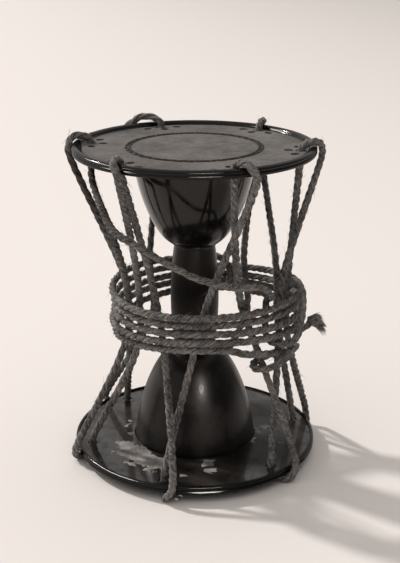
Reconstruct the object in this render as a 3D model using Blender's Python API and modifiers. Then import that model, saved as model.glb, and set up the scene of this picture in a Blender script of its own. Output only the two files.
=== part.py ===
"""Hourglass drum: a turned wooden body between two hide heads, held by a laced hemp cord and a waist cord.

Metres, +Z up. The drum's axis is Z, and the cord loops under the lower head stand on z = 0.
Run with: blender --background --python part.py
"""

import math

import bmesh
import bpy
from mathutils import Vector

# Driving sizes of the wooden body
BODY_LENGTH = 0.2530
CUP_RADIUS = 0.0515
CUP_LENGTH = 0.0800
CUP_FULLNESS = 1.5
CUP_SHOULDER = 0.6
LIP_WIDTH = 0.0050
LIP_ROUND = 0.0012
BOWL_DEPTH = 0.0700
BORE_RADIUS = 0.0105
NECK_END_RADIUS = 0.0172
NECK_SWELL = 0.0031
NECK_RING_HEIGHT = 0.0007
NECK_RING_WIDTH = 0.0024

# Driving sizes of the two heads
UPPER_HEAD_RADIUS = 0.1000
LOWER_HEAD_RADIUS = 0.1030
RIM_HEIGHT = 0.0070
RIM_WIDTH = 0.0066
RIM_WALL = 0.0010
RIM_GROOVE = 0.0007
BEAD_HEIGHT = 0.0022
LIP_TURN_IN = 0.0026
SKIN_RECESS = 0.0033
SKIN_THICKNESS = 0.0010
BACK_SKIN_THICKNESS = 0.0009
FOLD_FILLET = 0.0015
SEAM_MARGIN = 0.0028
SEAM_WIDTH = 0.0016
SEAM_HEIGHT = 0.0004
CLEARANCE = 0.0003

# Driving sizes of the cords and of the lacing
CORD_DIAMETER = 0.0062
CORD_GAP = 0.0005
HOLE_CLEARANCE = 0.0012
HOLE_INSET = 0.0134
FLAT_SHARE = 0.1
LACES_PER_HEAD = 6
UPPER_FIRST_ANGLE = 53.0
LOWER_FIRST_ANGLE = 77.0
LOOP_OUTER_SKEW = 3.5
LOOP_HOLE_SKEW = -3.0
SLACK_LOOP = 1
SLACK_LOOP_SKEW = 15.0
SLACK_LOOP_RISE = 0.0018
KNOTTED_LOOP = 2
TUCK_DROP = 0.034
TUCK_LENGTH = 0.020
# How far the winding turns each span round the waist as the cord runs, in degrees above and below its turns
SPAN_TURNS = (
    (20.0, 8.0),
    (8.0, 3.0),
    (-15.0, -10.0),
    (-12.0, -18.0),
    (-17.0, -16.0),
    (-4.0, -4.0),
    (-5.0, -1.0),
    (-5.5, 6.0),
    (-2.0, -8.0),
    (-9.0, -5.0),
    (-0.5, 1.0),
    (-5.0, -7.0),
)

# Driving sizes of the waist winding
WAIST_CENTRE_X = 0.0100
WAIST_HALF_WIDTH = 0.0770
WAIST_HALF_DEPTH = 0.0700
WAIST_HEIGHT = 0.1290
WAIST_PITCH = 0.0069
WAIST_START_ANGLE = 112.0
WAIST_CAUGHT_ANGLE = 72.0
WAIST_END_ANGLE = 1722.0
WAIST_FRONT_ANGLE = 270.0
WAIST_FRONT_PASSES = 5
WAIST_SPREAD = 0.30
WAIST_SPREAD_ANGLE = 350.0
WAIST_DIP = 0.0045
WAIST_DIP_ANGLE = 195.0
WAIST_WANDER = 0.0012
WAIST_WANDER_RATE = 0.37
FRAPPING_ANGLES = (312.0, 342.0)
KNOT_DROP = 0.028
KNOT_STRAND_ANGLES = (306.0, 330.0)

# Facets
TURNED_STEPS = 40
CURVE_SPACING = 0.001
LONGEST_STRAIGHT = 0.040
MOST_TURN = 19.0
WELD = 0.00001
CUP_POINTS = 8
BOWL_POINTS = 6
HOLE_SIDES = 14
WINDING_POINTS_PER_TURN = 24

# Sizes worked out from the driving sizes
CORD_RADIUS = CORD_DIAMETER / 2
CORD_FLAT = FLAT_SHARE * CORD_DIAMETER
CORD_PITCH = CORD_DIAMETER + CORD_GAP
RIM_HALF = RIM_HEIGHT / 2
SEAM_RADIUS = CUP_RADIUS + SEAM_MARGIN
SKIN_FACE = RIM_HALF - SKIN_RECESS
SKIN_BACK = SKIN_FACE - SKIN_THICKNESS
BACK_FACE = SKIN_BACK - CLEARANCE
LOOP_RISE = RIM_HALF + CLEARANCE + CORD_RADIUS
LOWER_MIDDLE = LOOP_RISE + CORD_RADIUS - CORD_FLAT
BODY_BOTTOM = LOWER_MIDDLE - SKIN_BACK + CLEARANCE
BODY_TOP = BODY_BOTTOM + BODY_LENGTH
UPPER_MIDDLE = BODY_TOP + CLEARANCE - SKIN_BACK
HOLE_RADIUS = CORD_RADIUS + HOLE_CLEARANCE
STEP_ANGLE = 360.0 / LACES_PER_HEAD
WINDING_SAG = WAIST_HALF_WIDTH * (1.0 - math.cos(math.pi / WINDING_POINTS_PER_TURN))


def clear_scene():
    for obj in list(bpy.data.objects):
        bpy.data.objects.remove(obj, do_unlink=True)


def new_collection(name):
    collection = bpy.data.collections.new(name)
    bpy.context.scene.collection.children.link(collection)
    return collection


def plain_material(name, colour, roughness, metallic=0.0):
    material = bpy.data.materials.new(name)
    material.use_nodes = True
    shader = material.node_tree.nodes["Principled BSDF"]
    shader.inputs["Base Color"].default_value = (*colour, 1.0)
    shader.inputs["Roughness"].default_value = roughness
    shader.inputs["Metallic"].default_value = metallic
    return material


def add_object(name, data, collection, material=None, parent=None):
    obj = bpy.data.objects.new(name, data)
    if material:
        data.materials.append(material)
    collection.objects.link(obj)
    obj.parent = parent
    return obj


def turned(name, profile, collection, material, parent=None, closed=False):
    """A turned piece: its profile's (radius, height) points run down the outer side and turn about Z."""
    mesh = bpy.data.meshes.new(name)
    points = [(radius, 0.0, height) for radius, height in profile]
    edges = [(i, i + 1) for i in range(len(points) - 1)]
    if closed:
        edges.append((len(points) - 1, 0))
    mesh.from_pydata(points, edges, [])
    obj = add_object(name, mesh, collection, material, parent)
    screw = obj.modifiers.new("Turn", "SCREW")
    screw.axis = "Z"
    screw.angle = math.tau
    screw.steps = TURNED_STEPS
    screw.render_steps = TURNED_STEPS
    screw.use_merge_vertices = True
    screw.merge_threshold = 5 * WELD
    screw.use_smooth_shade = True
    return obj


def cut(obj, cutter, label):
    boolean = obj.modifiers.new(label, "BOOLEAN")
    boolean.operation = "DIFFERENCE"
    boolean.solver = "EXACT"
    boolean.object = cutter


def hide_cutter(cutter):
    cutter.hide_render = True
    cutter.display_type = "WIRE"
    return cutter


def ellipse_arc(centre, half_width, half_height, start, end, count):
    """Points on an ellipse from one angle to another, in degrees, both ends included."""
    points = []
    for i in range(count):
        angle = math.radians(start + (end - start) * i / (count - 1))
        points.append((centre[0] + half_width * math.cos(angle), centre[1] + half_height * math.sin(angle)))
    return points


# Wooden body


def bell_radius(depth, length, wide, narrow):
    """Radius of a cup wall at a depth below its rim."""
    share = min(depth / length, 1.0)
    return narrow + (wide - narrow) * (1.0 - share**CUP_FULLNESS) ** CUP_SHOULDER


def cup_outline(length, wide, narrow, count, start):
    """(radius, depth) from the rim down to the neck, closer together where the wall turns in."""
    points = []
    for i in range(count):
        depth = start + (length - start) * math.sin(math.pi / 2 * i / (count - 1))
        points.append((bell_radius(depth, length, wide, narrow), depth))
    return points


def neck_outline():
    """(radius, height above the body's middle) from the upper ring to the middle of the barrel neck."""
    top = BODY_LENGTH / 2 - CUP_LENGTH
    points = []
    for share in (0.0, 0.5, 1.0):
        bulge = ellipse_arc((0.0, 0.0), NECK_RING_WIDTH / 2, NECK_RING_HEIGHT, 0, 180, 3)
        offset, rise = bulge[round(share * 2)]
        points.append((NECK_END_RADIUS + rise, top + offset - NECK_RING_WIDTH / 2))
    for share in (0.75, 0.5, 0.25):
        swell = NECK_SWELL * (1.0 - share**2)
        points.append((NECK_END_RADIUS + swell, (top - NECK_RING_WIDTH) * share))
    return points


def body_half():
    """The upper half of the body's section, above its middle: the outer side, then the bowl and bore."""
    half = BODY_LENGTH / 2
    lip = [(CUP_RADIUS - LIP_ROUND, half), (CUP_RADIUS, half - LIP_ROUND)]
    wall = cup_outline(CUP_LENGTH, CUP_RADIUS, NECK_END_RADIUS, CUP_POINTS, 4 * LIP_ROUND)
    outer = lip + [(radius, half - depth) for radius, depth in wall[:-1]] + neck_outline()
    bowl = cup_outline(BOWL_DEPTH, CUP_RADIUS - LIP_WIDTH, BORE_RADIUS, BOWL_POINTS, LIP_ROUND)
    inner_lip = [(CUP_RADIUS - LIP_WIDTH - LIP_ROUND, half)]
    return outer, inner_lip + [(radius, half - depth) for radius, depth in bowl]


def make_body(collection, material):
    outer, inner = body_half()
    middle = [(NECK_END_RADIUS + NECK_SWELL, 0.0)]
    outside = outer + middle + [(radius, -height) for radius, height in reversed(outer)]
    inside = [(radius, -height) for radius, height in inner] + list(reversed(inner))
    body = turned("wooden_body", outside + inside, collection, material, closed=True)
    body.location.z = (BODY_BOTTOM + BODY_TOP) / 2
    return body


# Heads: each is modelled with its playing face up, about the middle of its rim


def front_skin_profile(radius):
    """The hide's section: a flat membrane that folds up over the hoop, down the outside and in under it."""
    middle = radius - RIM_WIDTH / 2
    bead = RIM_HALF - BEAD_HEIGHT
    inner_wall = radius - RIM_WIDTH
    turn = (inner_wall - FOLD_FILLET, SKIN_FACE + FOLD_FILLET)
    fold = ellipse_arc(turn, FOLD_FILLET, FOLD_FILLET, -90, -30, 3)
    crown = ellipse_arc((middle, bead), RIM_WIDTH / 2, BEAD_HEIGHT, 165, 0, 6)
    groove = [(radius - RIM_GROOVE, 0.0)]
    foot = ellipse_arc((radius - LIP_TURN_IN / 2, -bead), LIP_TURN_IN / 2, BEAD_HEIGHT, 0, -90, 4)
    lip = [(radius - LIP_TURN_IN, -RIM_HALF), (radius - LIP_TURN_IN, -RIM_HALF + RIM_WALL)]
    back = [(radius - RIM_WALL, -bead), (radius - RIM_GROOVE - RIM_WALL, 0.0)]
    hollow = ellipse_arc((middle, bead), RIM_WIDTH / 2 - RIM_WALL, BEAD_HEIGHT - RIM_WALL, 0, 180, 4)
    under = [(inner_wall + RIM_WALL, SKIN_FACE), (inner_wall, SKIN_BACK), (0.0, SKIN_BACK)]
    return [(0.0, SKIN_FACE)] + fold + crown + groove + foot + lip + back + hollow + under


def back_skin_profile(radius):
    inner = CUP_RADIUS + 2 * CLEARANCE
    outer = radius - LIP_TURN_IN - CLEARANCE
    back = BACK_FACE - BACK_SKIN_THICKNESS
    return [(inner, BACK_FACE), (outer, BACK_FACE), (outer, back), (inner, back)]


def hoop_profile(radius):
    """The iron hoop fills the hollow of the fold, clear of the hide round it and of the back skin below."""
    inner = radius - RIM_WIDTH + RIM_WALL + CLEARANCE
    outer = radius - RIM_GROOVE - RIM_WALL - CLEARANCE
    top = RIM_HALF - RIM_WALL - CLEARANCE
    shoulder = RIM_HALF - BEAD_HEIGHT
    bottom = BACK_FACE + CLEARANCE
    chamfer = (outer - inner) / 4
    return [
        (inner + chamfer, top),
        (outer - chamfer, top),
        (outer, shoulder),
        (outer, bottom),
        (inner + chamfer, bottom),
        (inner, SKIN_FACE + CLEARANCE),
        (inner, shoulder),
    ]


def seam_profile():
    inner = SEAM_RADIUS - SEAM_WIDTH / 2
    outer = SEAM_RADIUS + SEAM_WIDTH / 2
    base = SKIN_FACE + CLEARANCE
    return [(inner, base + SEAM_HEIGHT), (outer, base + SEAM_HEIGHT), (outer, base), (inner, base)]


def hole_cutter(name, radius, angles, collection, parent):
    """Upright pins, one in each lacing hole of a head."""
    mesh = bpy.data.meshes.new(name)
    pins = bmesh.new()
    for angle in angles:
        made = bmesh.ops.create_cone(
            pins,
            cap_ends=True,
            segments=HOLE_SIDES,
            radius1=HOLE_RADIUS,
            radius2=HOLE_RADIUS,
            depth=2 * RIM_HEIGHT,
        )
        place = polar(radius - HOLE_INSET, angle, 0.0)
        bmesh.ops.translate(pins, verts=made["verts"], vec=place)
    pins.to_mesh(mesh)
    pins.free()
    return hide_cutter(add_object(name, mesh, collection, parent=parent))


def make_head(side, radius, angles, pivot, parts, cutters, finishes):
    """One head's hoop, hides and seam, under an empty at the middle of its rim."""
    front_profile = front_skin_profile(radius)
    back_profile = back_skin_profile(radius)
    front = turned(f"{side}_front_skin", front_profile, parts, finishes["skin"], pivot)
    back = turned(f"{side}_back_skin", back_profile, parts, finishes["lacquer"], pivot, closed=True)
    turned(f"{side}_iron_hoop", hoop_profile(radius), parts, finishes["iron"], pivot, closed=True)
    turned(f"{side}_seam_thread", seam_profile(), parts, finishes["thread"], pivot, closed=True)
    pins = hole_cutter(f"{side}_hole_pins", radius, angles, cutters, pivot)
    cut(front, pins, "Lacing holes")
    cut(back, pins, "Lacing holes")


# Cords


def polar(radius, angle, height):
    turn = math.radians(angle)
    return Vector((radius * math.cos(turn), radius * math.sin(turn), height))


def upper_angle(k):
    return UPPER_FIRST_ANGLE + STEP_ANGLE * k


def lower_angle(k):
    return LOWER_FIRST_ANGLE + STEP_ANGLE * k


def hole_angle(angle):
    return angle + LOOP_HOLE_SKEW


def loop_points(radius, middle, facing, angle, outer_skew, slack=0.0):
    """A loop round a rim, from below its outside, over the playing side and in through the hole.

    facing is 1 for the upper head and -1 for the lower one. A slack loop stands higher over the rim.
    """
    reach = radius + CORD_RADIUS + 2 * CLEARANCE
    hole = radius - HOLE_INSET
    rise = LOOP_RISE + CLEARANCE / 2 + slack
    section = (
        (reach + CLEARANCE, -1.25 * RIM_HALF),
        (reach, 0.2 * RIM_HALF),
        (reach - 0.12 * CORD_RADIUS, 0.45 * rise),
        (reach - 0.75 * CORD_RADIUS, 0.85 * rise),
        (radius - 0.4 * RIM_WIDTH, rise),
        (radius - 1.1 * RIM_WIDTH, 0.90 * rise),
        (hole + 0.55 * CORD_RADIUS, 0.50 * rise),
        (hole + 0.06 * CORD_RADIUS, 0.5 * CORD_FLAT),
        (hole, SKIN_BACK - 2 * SKIN_THICKNESS),
        (hole, SKIN_BACK - 5 * SKIN_THICKNESS),
    )
    points = []
    last = len(section) - 4
    for i, (across, height) in enumerate(section):
        share = min(i / last, 1.0)
        turn = angle + outer_skew + (LOOP_HOLE_SKEW - outer_skew) * share
        points.append(polar(across, turn, middle + facing * height))
    return points


def upper_loop(k):
    angle = upper_angle(k)
    if k == SLACK_LOOP:
        return loop_points(UPPER_HEAD_RADIUS, UPPER_MIDDLE, 1, angle, SLACK_LOOP_SKEW, SLACK_LOOP_RISE)
    return loop_points(UPPER_HEAD_RADIUS, UPPER_MIDDLE, 1, angle, LOOP_OUTER_SKEW)


def lower_loop(k):
    return loop_points(LOWER_HEAD_RADIUS, LOWER_MIDDLE, -1, lower_angle(k), LOOP_OUTER_SKEW)


def waist_point(angle, outward, height):
    """A point at an angle round the waist winding, moved outward from the middle of its cord."""
    turn = math.radians(angle)
    across = (WAIST_HALF_WIDTH + outward) * math.cos(turn)
    along = (WAIST_HALF_DEPTH + outward) * math.sin(turn)
    return Vector((WAIST_CENTRE_X + across, along, height))


def waist_angle(point):
    """The angle of a point about the winding's middle."""
    across = (point.x - WAIST_CENTRE_X) / WAIST_HALF_WIDTH
    return math.degrees(math.atan2(point.y / WAIST_HALF_DEPTH, across))


def pinch_points(top, bottom, span):
    """Where the winding draws a strand in: one point above the turns and one below them."""
    reach = WAIST_PITCH * (1.0 + 0.6 * WAIST_SPREAD) * (WAIST_FRONT_PASSES + 1) / 2
    heights = (WAIST_HEIGHT + reach, WAIST_HEIGHT - reach)
    points = []
    for lean, turn, height in zip((0.55, 0.45), SPAN_TURNS[span], heights):
        angle = waist_angle(bottom.lerp(top, lean)) + turn
        points.append(waist_point(angle, -CORD_PITCH - WINDING_SAG - CLEARANCE, height))
    return points


def smooth_curve(points):
    """Closely spaced points on a centripetal Catmull-Rom curve through the given ones."""
    ends = [2 * points[0] - points[1]] + list(points) + [2 * points[-1] - points[-2]]
    curve = []
    for p0, p1, p2, p3 in zip(ends, ends[1:], ends[2:], ends[3:]):
        t1 = (p1 - p0).length ** 0.5
        t2 = t1 + (p2 - p1).length ** 0.5
        t3 = t2 + (p3 - p2).length ** 0.5
        count = max(2, math.ceil((p2 - p1).length / CURVE_SPACING))
        for i in range(count):
            t = t1 + (t2 - t1) * i / count
            a1 = p0.lerp(p1, t / t1)
            a2 = p1.lerp(p2, (t - t1) / (t2 - t1))
            a3 = p2.lerp(p3, (t - t2) / (t3 - t2))
            b1 = a1.lerp(a2, t / t2)
            b2 = a2.lerp(a3, (t - t1) / (t3 - t1))
            curve.append(b1.lerp(b2, (t - t1) / (t2 - t1)))
    curve.append(points[-1].copy())
    return curve


def thinned(curve):
    """The curve with points dropped where it runs straight."""
    kept = [curve[0], curve[1]]
    for i in range(2, len(curve) - 2):
        ahead = curve[i + 1] - curve[i]
        behind = kept[-1] - kept[-2]
        turned_by = math.degrees(ahead.angle(behind, 0.0))
        if turned_by > MOST_TURN or (curve[i] - kept[-1]).length > LONGEST_STRAIGHT:
            kept.append(curve[i])
    return kept + [curve[-2], curve[-1]]


def lacing_spans():
    """The lacing's control points from the knotted loop round the drum to the strand beside it."""
    route = list(reversed(upper_loop(KNOTTED_LOOP)))
    for step in range(LACES_PER_HEAD):
        lower = list(reversed(lower_loop(KNOTTED_LOOP - 1 - step)))
        route += pinch_points(route[-1], lower[0], 2 * step)
        route += lower
        if step < LACES_PER_HEAD - 1:
            upper = list(reversed(upper_loop(KNOTTED_LOOP - 1 - step)))
            route += pinch_points(upper[0], lower[-1], 2 * step + 1)[::-1]
            route += upper
    return route


def band_height(angle):
    """Height of the winding's cord at a running angle: a pitch lower each turn, spread at both sides.

    The turns sag to the left.
    """
    passed = (angle - WAIST_FRONT_ANGLE) / 360.0
    middle = (WAIST_FRONT_PASSES - 1) / 2
    spread = 1.0 + WAIST_SPREAD * math.cos(math.radians(angle - WAIST_SPREAD_ANGLE)) ** 2
    dip = WAIST_DIP * max(0.0, math.cos(math.radians(angle - WAIST_DIP_ANGLE))) ** 2
    return WAIST_HEIGHT + (middle - passed) * WAIST_PITCH * spread - dip


def band_point(angle):
    wander = WAIST_WANDER * (1.0 + math.sin(math.radians(WAIST_WANDER_RATE * angle)))
    return waist_point(angle, wander, band_height(angle))


def waist_reach(bearing):
    """How far the middle of the winding's cord is from the drum's axis, at a bearing from that axis."""
    turn = math.radians(bearing)
    across = math.cos(turn) / WAIST_HALF_WIDTH
    along = math.sin(turn) / WAIST_HALF_DEPTH
    centre = WAIST_CENTRE_X / WAIST_HALF_WIDTH
    size = across**2 + along**2
    middle = across * centre
    return (middle + math.sqrt(middle**2 - size * (centre**2 - 1.0))) / size


def side_point(bearing, share, cords):
    """A point by the strands, at a share of the way up from the winding to the upper head."""
    reach = waist_reach(bearing) * (1.0 - share) + UPPER_HEAD_RADIUS * share
    height = WAIST_HEIGHT * (1.0 - share) + UPPER_MIDDLE * share
    return polar(reach + cords * CORD_PITCH, bearing, height)


def diagonal_lead():
    """The lacing's long end: from the knotted hole, across the front outside the strands, to the right."""
    return [
        side_point(178.0, 0.82, -1.35),
        side_point(210.0, 0.68, -0.90),
        side_point(226.0, 0.61, 0.45),
        side_point(238.0, 0.56, 0.60),
        side_point(254.5, 0.46, 0.15),
        side_point(273.0, 0.36, 0.05),
        side_point(294.5, 0.30, 0.20),
        side_point(309.0, 0.27, 0.10),
    ]


def frapping_turns():
    """Two turns of the long end round the whole waist winding, then its loose end at the right."""
    inside = -1.10 * CORD_PITCH
    outside = 1.35 * CORD_PITCH
    ease = 0.45 * CORD_PITCH
    route = []
    for start in FRAPPING_ANGLES:
        top = band_height(start) + 1.15 * CORD_PITCH
        bottom = band_height(start + 360.0 * (WAIST_FRONT_PASSES - 2)) - 1.15 * CORD_PITCH
        if route:
            route += [
                waist_point(start - 16.0, outside, bottom + ease),
                waist_point(start - 7.0, outside, top - ease),
            ]
        route += [
            waist_point(start, 0.0, top + 0.1 * CORD_PITCH),
            waist_point(start + 2.0, inside, top - ease),
            waist_point(start + 3.0, inside, bottom + ease),
            waist_point(start + 4.5, 0.0, bottom),
        ]
    last = FRAPPING_ANGLES[-1]
    return route + [
        waist_point(last + 7.0, 1.3 * CORD_PITCH, bottom + 0.6 * CORD_PITCH),
        waist_point(last + 9.0, 1.9 * CORD_PITCH, bottom + 1.2 * CORD_PITCH),
        waist_point(last + 10.5, 2.7 * CORD_PITCH, bottom + 1.3 * CORD_PITCH),
    ]


def tucked_end(strand, start, steps=5):
    """The cord's end, laid up behind a strand towards the head."""
    spacing = round(TUCK_LENGTH / steps / CURVE_SPACING)
    side = -strand[start]
    points = []
    for i in range(steps + 1):
        at = start - i * spacing
        axis = (strand[at - spacing] - strand[at + spacing]).normalized()
        side = (side - axis * side.dot(axis)).normalized()
        points.append(strand[at] + side * (CORD_PITCH + 3 * CLEARANCE))
    return points


def lacing_route():
    """The whole lacing cord: loose end, frapping, diagonal, twelve spans, and its tucked end."""
    hole = upper_loop(KNOTTED_LOOP)[-1]
    lead = list(reversed(diagonal_lead() + frapping_turns()))
    spans = lacing_spans()
    diagonal = smooth_curve([hole] + diagonal_lead())
    start = next(i for i, point in enumerate(diagonal) if hole.z - point.z > TUCK_DROP)
    last = spans[-1]
    pinch = pinch_points(diagonal[start], last, len(SPAN_TURNS) - 1)[::-1]
    return lead + spans + pinch + tucked_end(diagonal, start)


def strand_at(curve, height, near):
    """The point at a height on the strand that passes nearest to a place."""
    level = [p for p in curve if abs(p.z - height) < CURVE_SPACING]
    return min(level, key=lambda p: (p - near).length)


def strand_direction(curve, point):
    """Which way is up along the strand at one of its points."""
    at = curve.index(point)
    along = (curve[at + 5] - curve[at - 5]).normalized()
    return along if along.z > 0 else -along


def waist_knot(lacing):
    """The waist cord's hitch round the two strands of the right-hand front lower loop, and its tail."""
    height = WAIST_HEIGHT - KNOT_DROP
    places = [waist_point(angle, 0.0, height) for angle in KNOT_STRAND_ANGLES]
    left, right = [strand_at(lacing, height, place) for place in places]
    up = (strand_direction(lacing, left) + strand_direction(lacing, right)).normalized()
    middle = (left + right) / 2
    half = (right - left).length / 2
    across = (right - left).normalized()
    outward = across.cross(up)
    cord = CORD_PITCH
    side = half + cord
    steps = (
        (-side - 0.3 * cord, 1.0 * cord, 0.95 * cord),
        (-half, 1.35 * cord, 0.60 * cord),
        (0.0, 1.35 * cord, 0.05 * cord),
        (half, 1.25 * cord, -0.50 * cord),
        (side + 0.12 * cord, 0.0, -0.70 * cord),
        (half, -1.15 * cord, -0.65 * cord),
        (-half, -1.15 * cord, -0.75 * cord),
        (-side - 0.15 * cord, 0.0, -0.95 * cord),
        (-half, 1.40 * cord, -1.15 * cord),
        (-0.1 * cord, 2.45 * cord, -0.55 * cord),
        (half, 2.35 * cord, 0.10 * cord),
        (side + 0.3 * cord, 1.60 * cord, -0.10 * cord),
        (side + 1.2 * cord, 1.10 * cord, -0.15 * cord),
    )
    return [middle + across * a + outward * b + up * c for a, b, c in steps]


def waist_route(lacing):
    """The waist cord: an end caught under the turns, the turns, the lead down to its knot, and the tail."""
    low = band_height(WAIST_START_ANGLE + 360.0 * (WAIST_FRONT_PASSES - 2))
    high = band_height(WAIST_START_ANGLE)
    caught = WAIST_CAUGHT_ANGLE
    inside = -CORD_PITCH - WINDING_SAG
    start = [
        waist_point(caught, inside, low),
        waist_point(caught, inside, (low + high) / 2),
        waist_point(caught + 1.0, inside, high - 0.7 * CORD_PITCH),
        waist_point(caught + 5.5, -0.75 * CORD_PITCH, high + 0.1 * CORD_PITCH),
        waist_point(caught + 12.0, -0.25 * CORD_PITCH, high + 0.35 * CORD_PITCH),
        waist_point(caught + 20.0, 0.0, high + 0.20 * CORD_PITCH),
    ]
    count = round((WAIST_END_ANGLE - WAIST_START_ANGLE) / 360.0 * WINDING_POINTS_PER_TURN)
    step = (WAIST_END_ANGLE - WAIST_START_ANGLE) / count
    turns = [band_point(WAIST_START_ANGLE + step * i) for i in range(count + 1)]
    lead = [waist_point(WAIST_END_ANGLE + 10.0, 0.35 * CORD_PITCH, turns[-1].z - 0.55 * CORD_PITCH)]
    return start, turns, lead + waist_knot(lacing)


def least_gap(route):
    """The least clear gap of a cord to itself, over points further apart along it than a tight bend."""
    spacing = 2 * CURVE_SPACING
    points = []
    for a, b in zip(route, route[1:]):
        count = math.ceil((b - a).length / spacing)
        points += [a.lerp(b, i / count) for i in range(count)]
    skip = math.ceil(math.pi * CORD_DIAMETER / spacing)
    least = float("inf")
    for i, point in enumerate(points):
        for other in points[i + skip:]:
            least = min(least, (point - other).length)
    return least - CORD_DIAMETER


def cord_curve(name, points, sides, collection, material):
    """A cord as a filled tube along points."""
    data = bpy.data.curves.new(name, "CURVE")
    data.dimensions = "3D"
    data.bevel_depth = CORD_RADIUS
    data.bevel_resolution = sides
    data.use_fill_caps = True
    spline = data.splines.new("POLY")
    spline.points.add(len(points) - 1)
    for target, point in zip(spline.points, points):
        target.co = (*point, 1.0)
    return add_object(name, data, collection, material)


def cord_mesh(obj, collection):
    """The cord as a closed mesh in the curve's place, so that it can be cut."""
    bpy.context.view_layer.update()
    name = obj.name
    mesh = bpy.data.meshes.new_from_object(obj.evaluated_get(bpy.context.evaluated_depsgraph_get()))
    place = obj.matrix_world.copy()
    bpy.data.objects.remove(obj, do_unlink=True)
    welded = bmesh.new()
    welded.from_mesh(mesh)
    bmesh.ops.remove_doubles(welded, verts=welded.verts, dist=WELD)
    bmesh.ops.recalc_face_normals(welded, faces=welded.faces)
    welded.to_mesh(mesh)
    welded.free()
    made = add_object(name, mesh, collection)
    made.matrix_world = place
    return made


def floor_cutter(collection):
    """A slab below z = 0, which wears the loops flat where the drum stands on them."""
    depth = 4 * CORD_DIAMETER
    mesh = bpy.data.meshes.new("floor_slab")
    slab = bmesh.new()
    bmesh.ops.create_cube(slab, size=1.0)
    width = 4 * LOWER_HEAD_RADIUS
    bmesh.ops.scale(slab, verts=slab.verts, vec=(width, width, depth))
    bmesh.ops.translate(slab, verts=slab.verts, vec=(0.0, 0.0, -depth / 2))
    slab.to_mesh(mesh)
    slab.free()
    return hide_cutter(add_object("floor_slab", mesh, collection))


def make_cords(parts, cutters, material):
    lacing = smooth_curve(lacing_route())
    lacing_points = thinned(lacing)
    cord = cord_mesh(cord_curve("lacing_cord", lacing_points, 2, parts, material), parts)
    cut(cord, floor_cutter(cutters), "Flat on the floor")
    start, turns, finish = waist_route(lacing)
    into = thinned(smooth_curve(start + turns[:1]))[:-1]
    away = thinned(smooth_curve(turns[-1:] + finish))[1:]
    waist_points = into + turns + away
    cord_curve("waist_cord", waist_points, 1, parts, material)
    for name, points in (("lacing cord", lacing_points), ("waist cord", waist_points)):
        gap = least_gap(points) * 1000
        print(f"{name}: {route_length(points):.3f} m, least gap to itself {gap:.2f} mm")


def route_length(route):
    return sum((b - a).length for a, b in zip(route, route[1:]))


def head_pivot(name, height, facing, collection):
    """An empty at the middle of a rim, turned over for the head that faces down."""
    pivot = bpy.data.objects.new(name, None)
    collection.objects.link(pivot)
    pivot.location.z = height
    if facing < 0:
        pivot.rotation_euler.x = math.pi
    return pivot


def main():
    clear_scene()
    parts = new_collection("hourglass_drum")
    cutters = new_collection("cutters")
    finishes = {
        "lacquer": plain_material("black_lacquer", (0.012, 0.011, 0.010), 0.22),
        "skin": plain_material("grey_hide", (0.125, 0.118, 0.110), 0.70),
        "iron": plain_material("dark_iron", (0.060, 0.058, 0.056), 0.55, 0.9),
        "thread": plain_material("waxed_thread", (0.020, 0.018, 0.016), 0.60),
        "hemp": plain_material("grey_hemp", (0.110, 0.104, 0.096), 0.90),
    }
    make_body(parts, finishes["lacquer"])
    upper_holes = [hole_angle(upper_angle(k)) for k in range(LACES_PER_HEAD)]
    lower_holes = [-hole_angle(lower_angle(k)) for k in range(LACES_PER_HEAD)]
    upper = head_pivot("upper_head", UPPER_MIDDLE, 1, parts)
    lower = head_pivot("lower_head", LOWER_MIDDLE, -1, parts)
    make_head("upper", UPPER_HEAD_RADIUS, upper_holes, upper, parts, cutters, finishes)
    make_head("lower", LOWER_HEAD_RADIUS, lower_holes, lower, parts, cutters, finishes)
    make_cords(parts, cutters, finishes["hemp"])


main()
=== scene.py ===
# %% [markdown]
# An hourglass drum in Blender
#
# The drum is a turned wooden body between two hide heads. One long hemp rope zigzags between the heads, and
# a second rope is wound round the first at the waist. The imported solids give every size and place. This
# lesson dresses them: it models each piece again with the detail that a photograph shows.

# %% Load the solids
import math
import random

import bpy
import numpy as np
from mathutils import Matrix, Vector


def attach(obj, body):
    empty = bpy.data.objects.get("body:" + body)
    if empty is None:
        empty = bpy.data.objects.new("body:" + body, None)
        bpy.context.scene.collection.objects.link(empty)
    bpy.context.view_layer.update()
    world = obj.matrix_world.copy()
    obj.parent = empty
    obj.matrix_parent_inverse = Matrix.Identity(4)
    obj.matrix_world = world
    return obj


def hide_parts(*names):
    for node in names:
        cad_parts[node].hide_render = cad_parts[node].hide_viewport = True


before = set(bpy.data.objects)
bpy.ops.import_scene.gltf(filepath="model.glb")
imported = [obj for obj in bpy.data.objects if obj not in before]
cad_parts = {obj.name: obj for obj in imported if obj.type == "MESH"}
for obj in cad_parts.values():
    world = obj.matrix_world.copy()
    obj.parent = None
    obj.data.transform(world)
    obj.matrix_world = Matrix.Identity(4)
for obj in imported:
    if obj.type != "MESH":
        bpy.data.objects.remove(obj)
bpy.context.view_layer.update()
print("solids:", ", ".join(sorted(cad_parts)))

# %% [markdown]
# The camera comes first, because every later choice is judged through it. The view is from a little above,
# with a long lens, and the lens is shifted down so that the upright sides of the drum stay nearly upright,
# as a view camera does it. The numbers come from fitting the two rims and the body to the picture.

# %% Camera
CAMERA_PLACE = (0.0, -0.90473, 0.4612)
CAMERA_PITCH = 0.26229
CAMERA_YAW = 0.00499
FOCAL_LENGTH = 72.45
SENSOR_WIDTH = 36.0
LENS_SHIFT = -0.142

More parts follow.
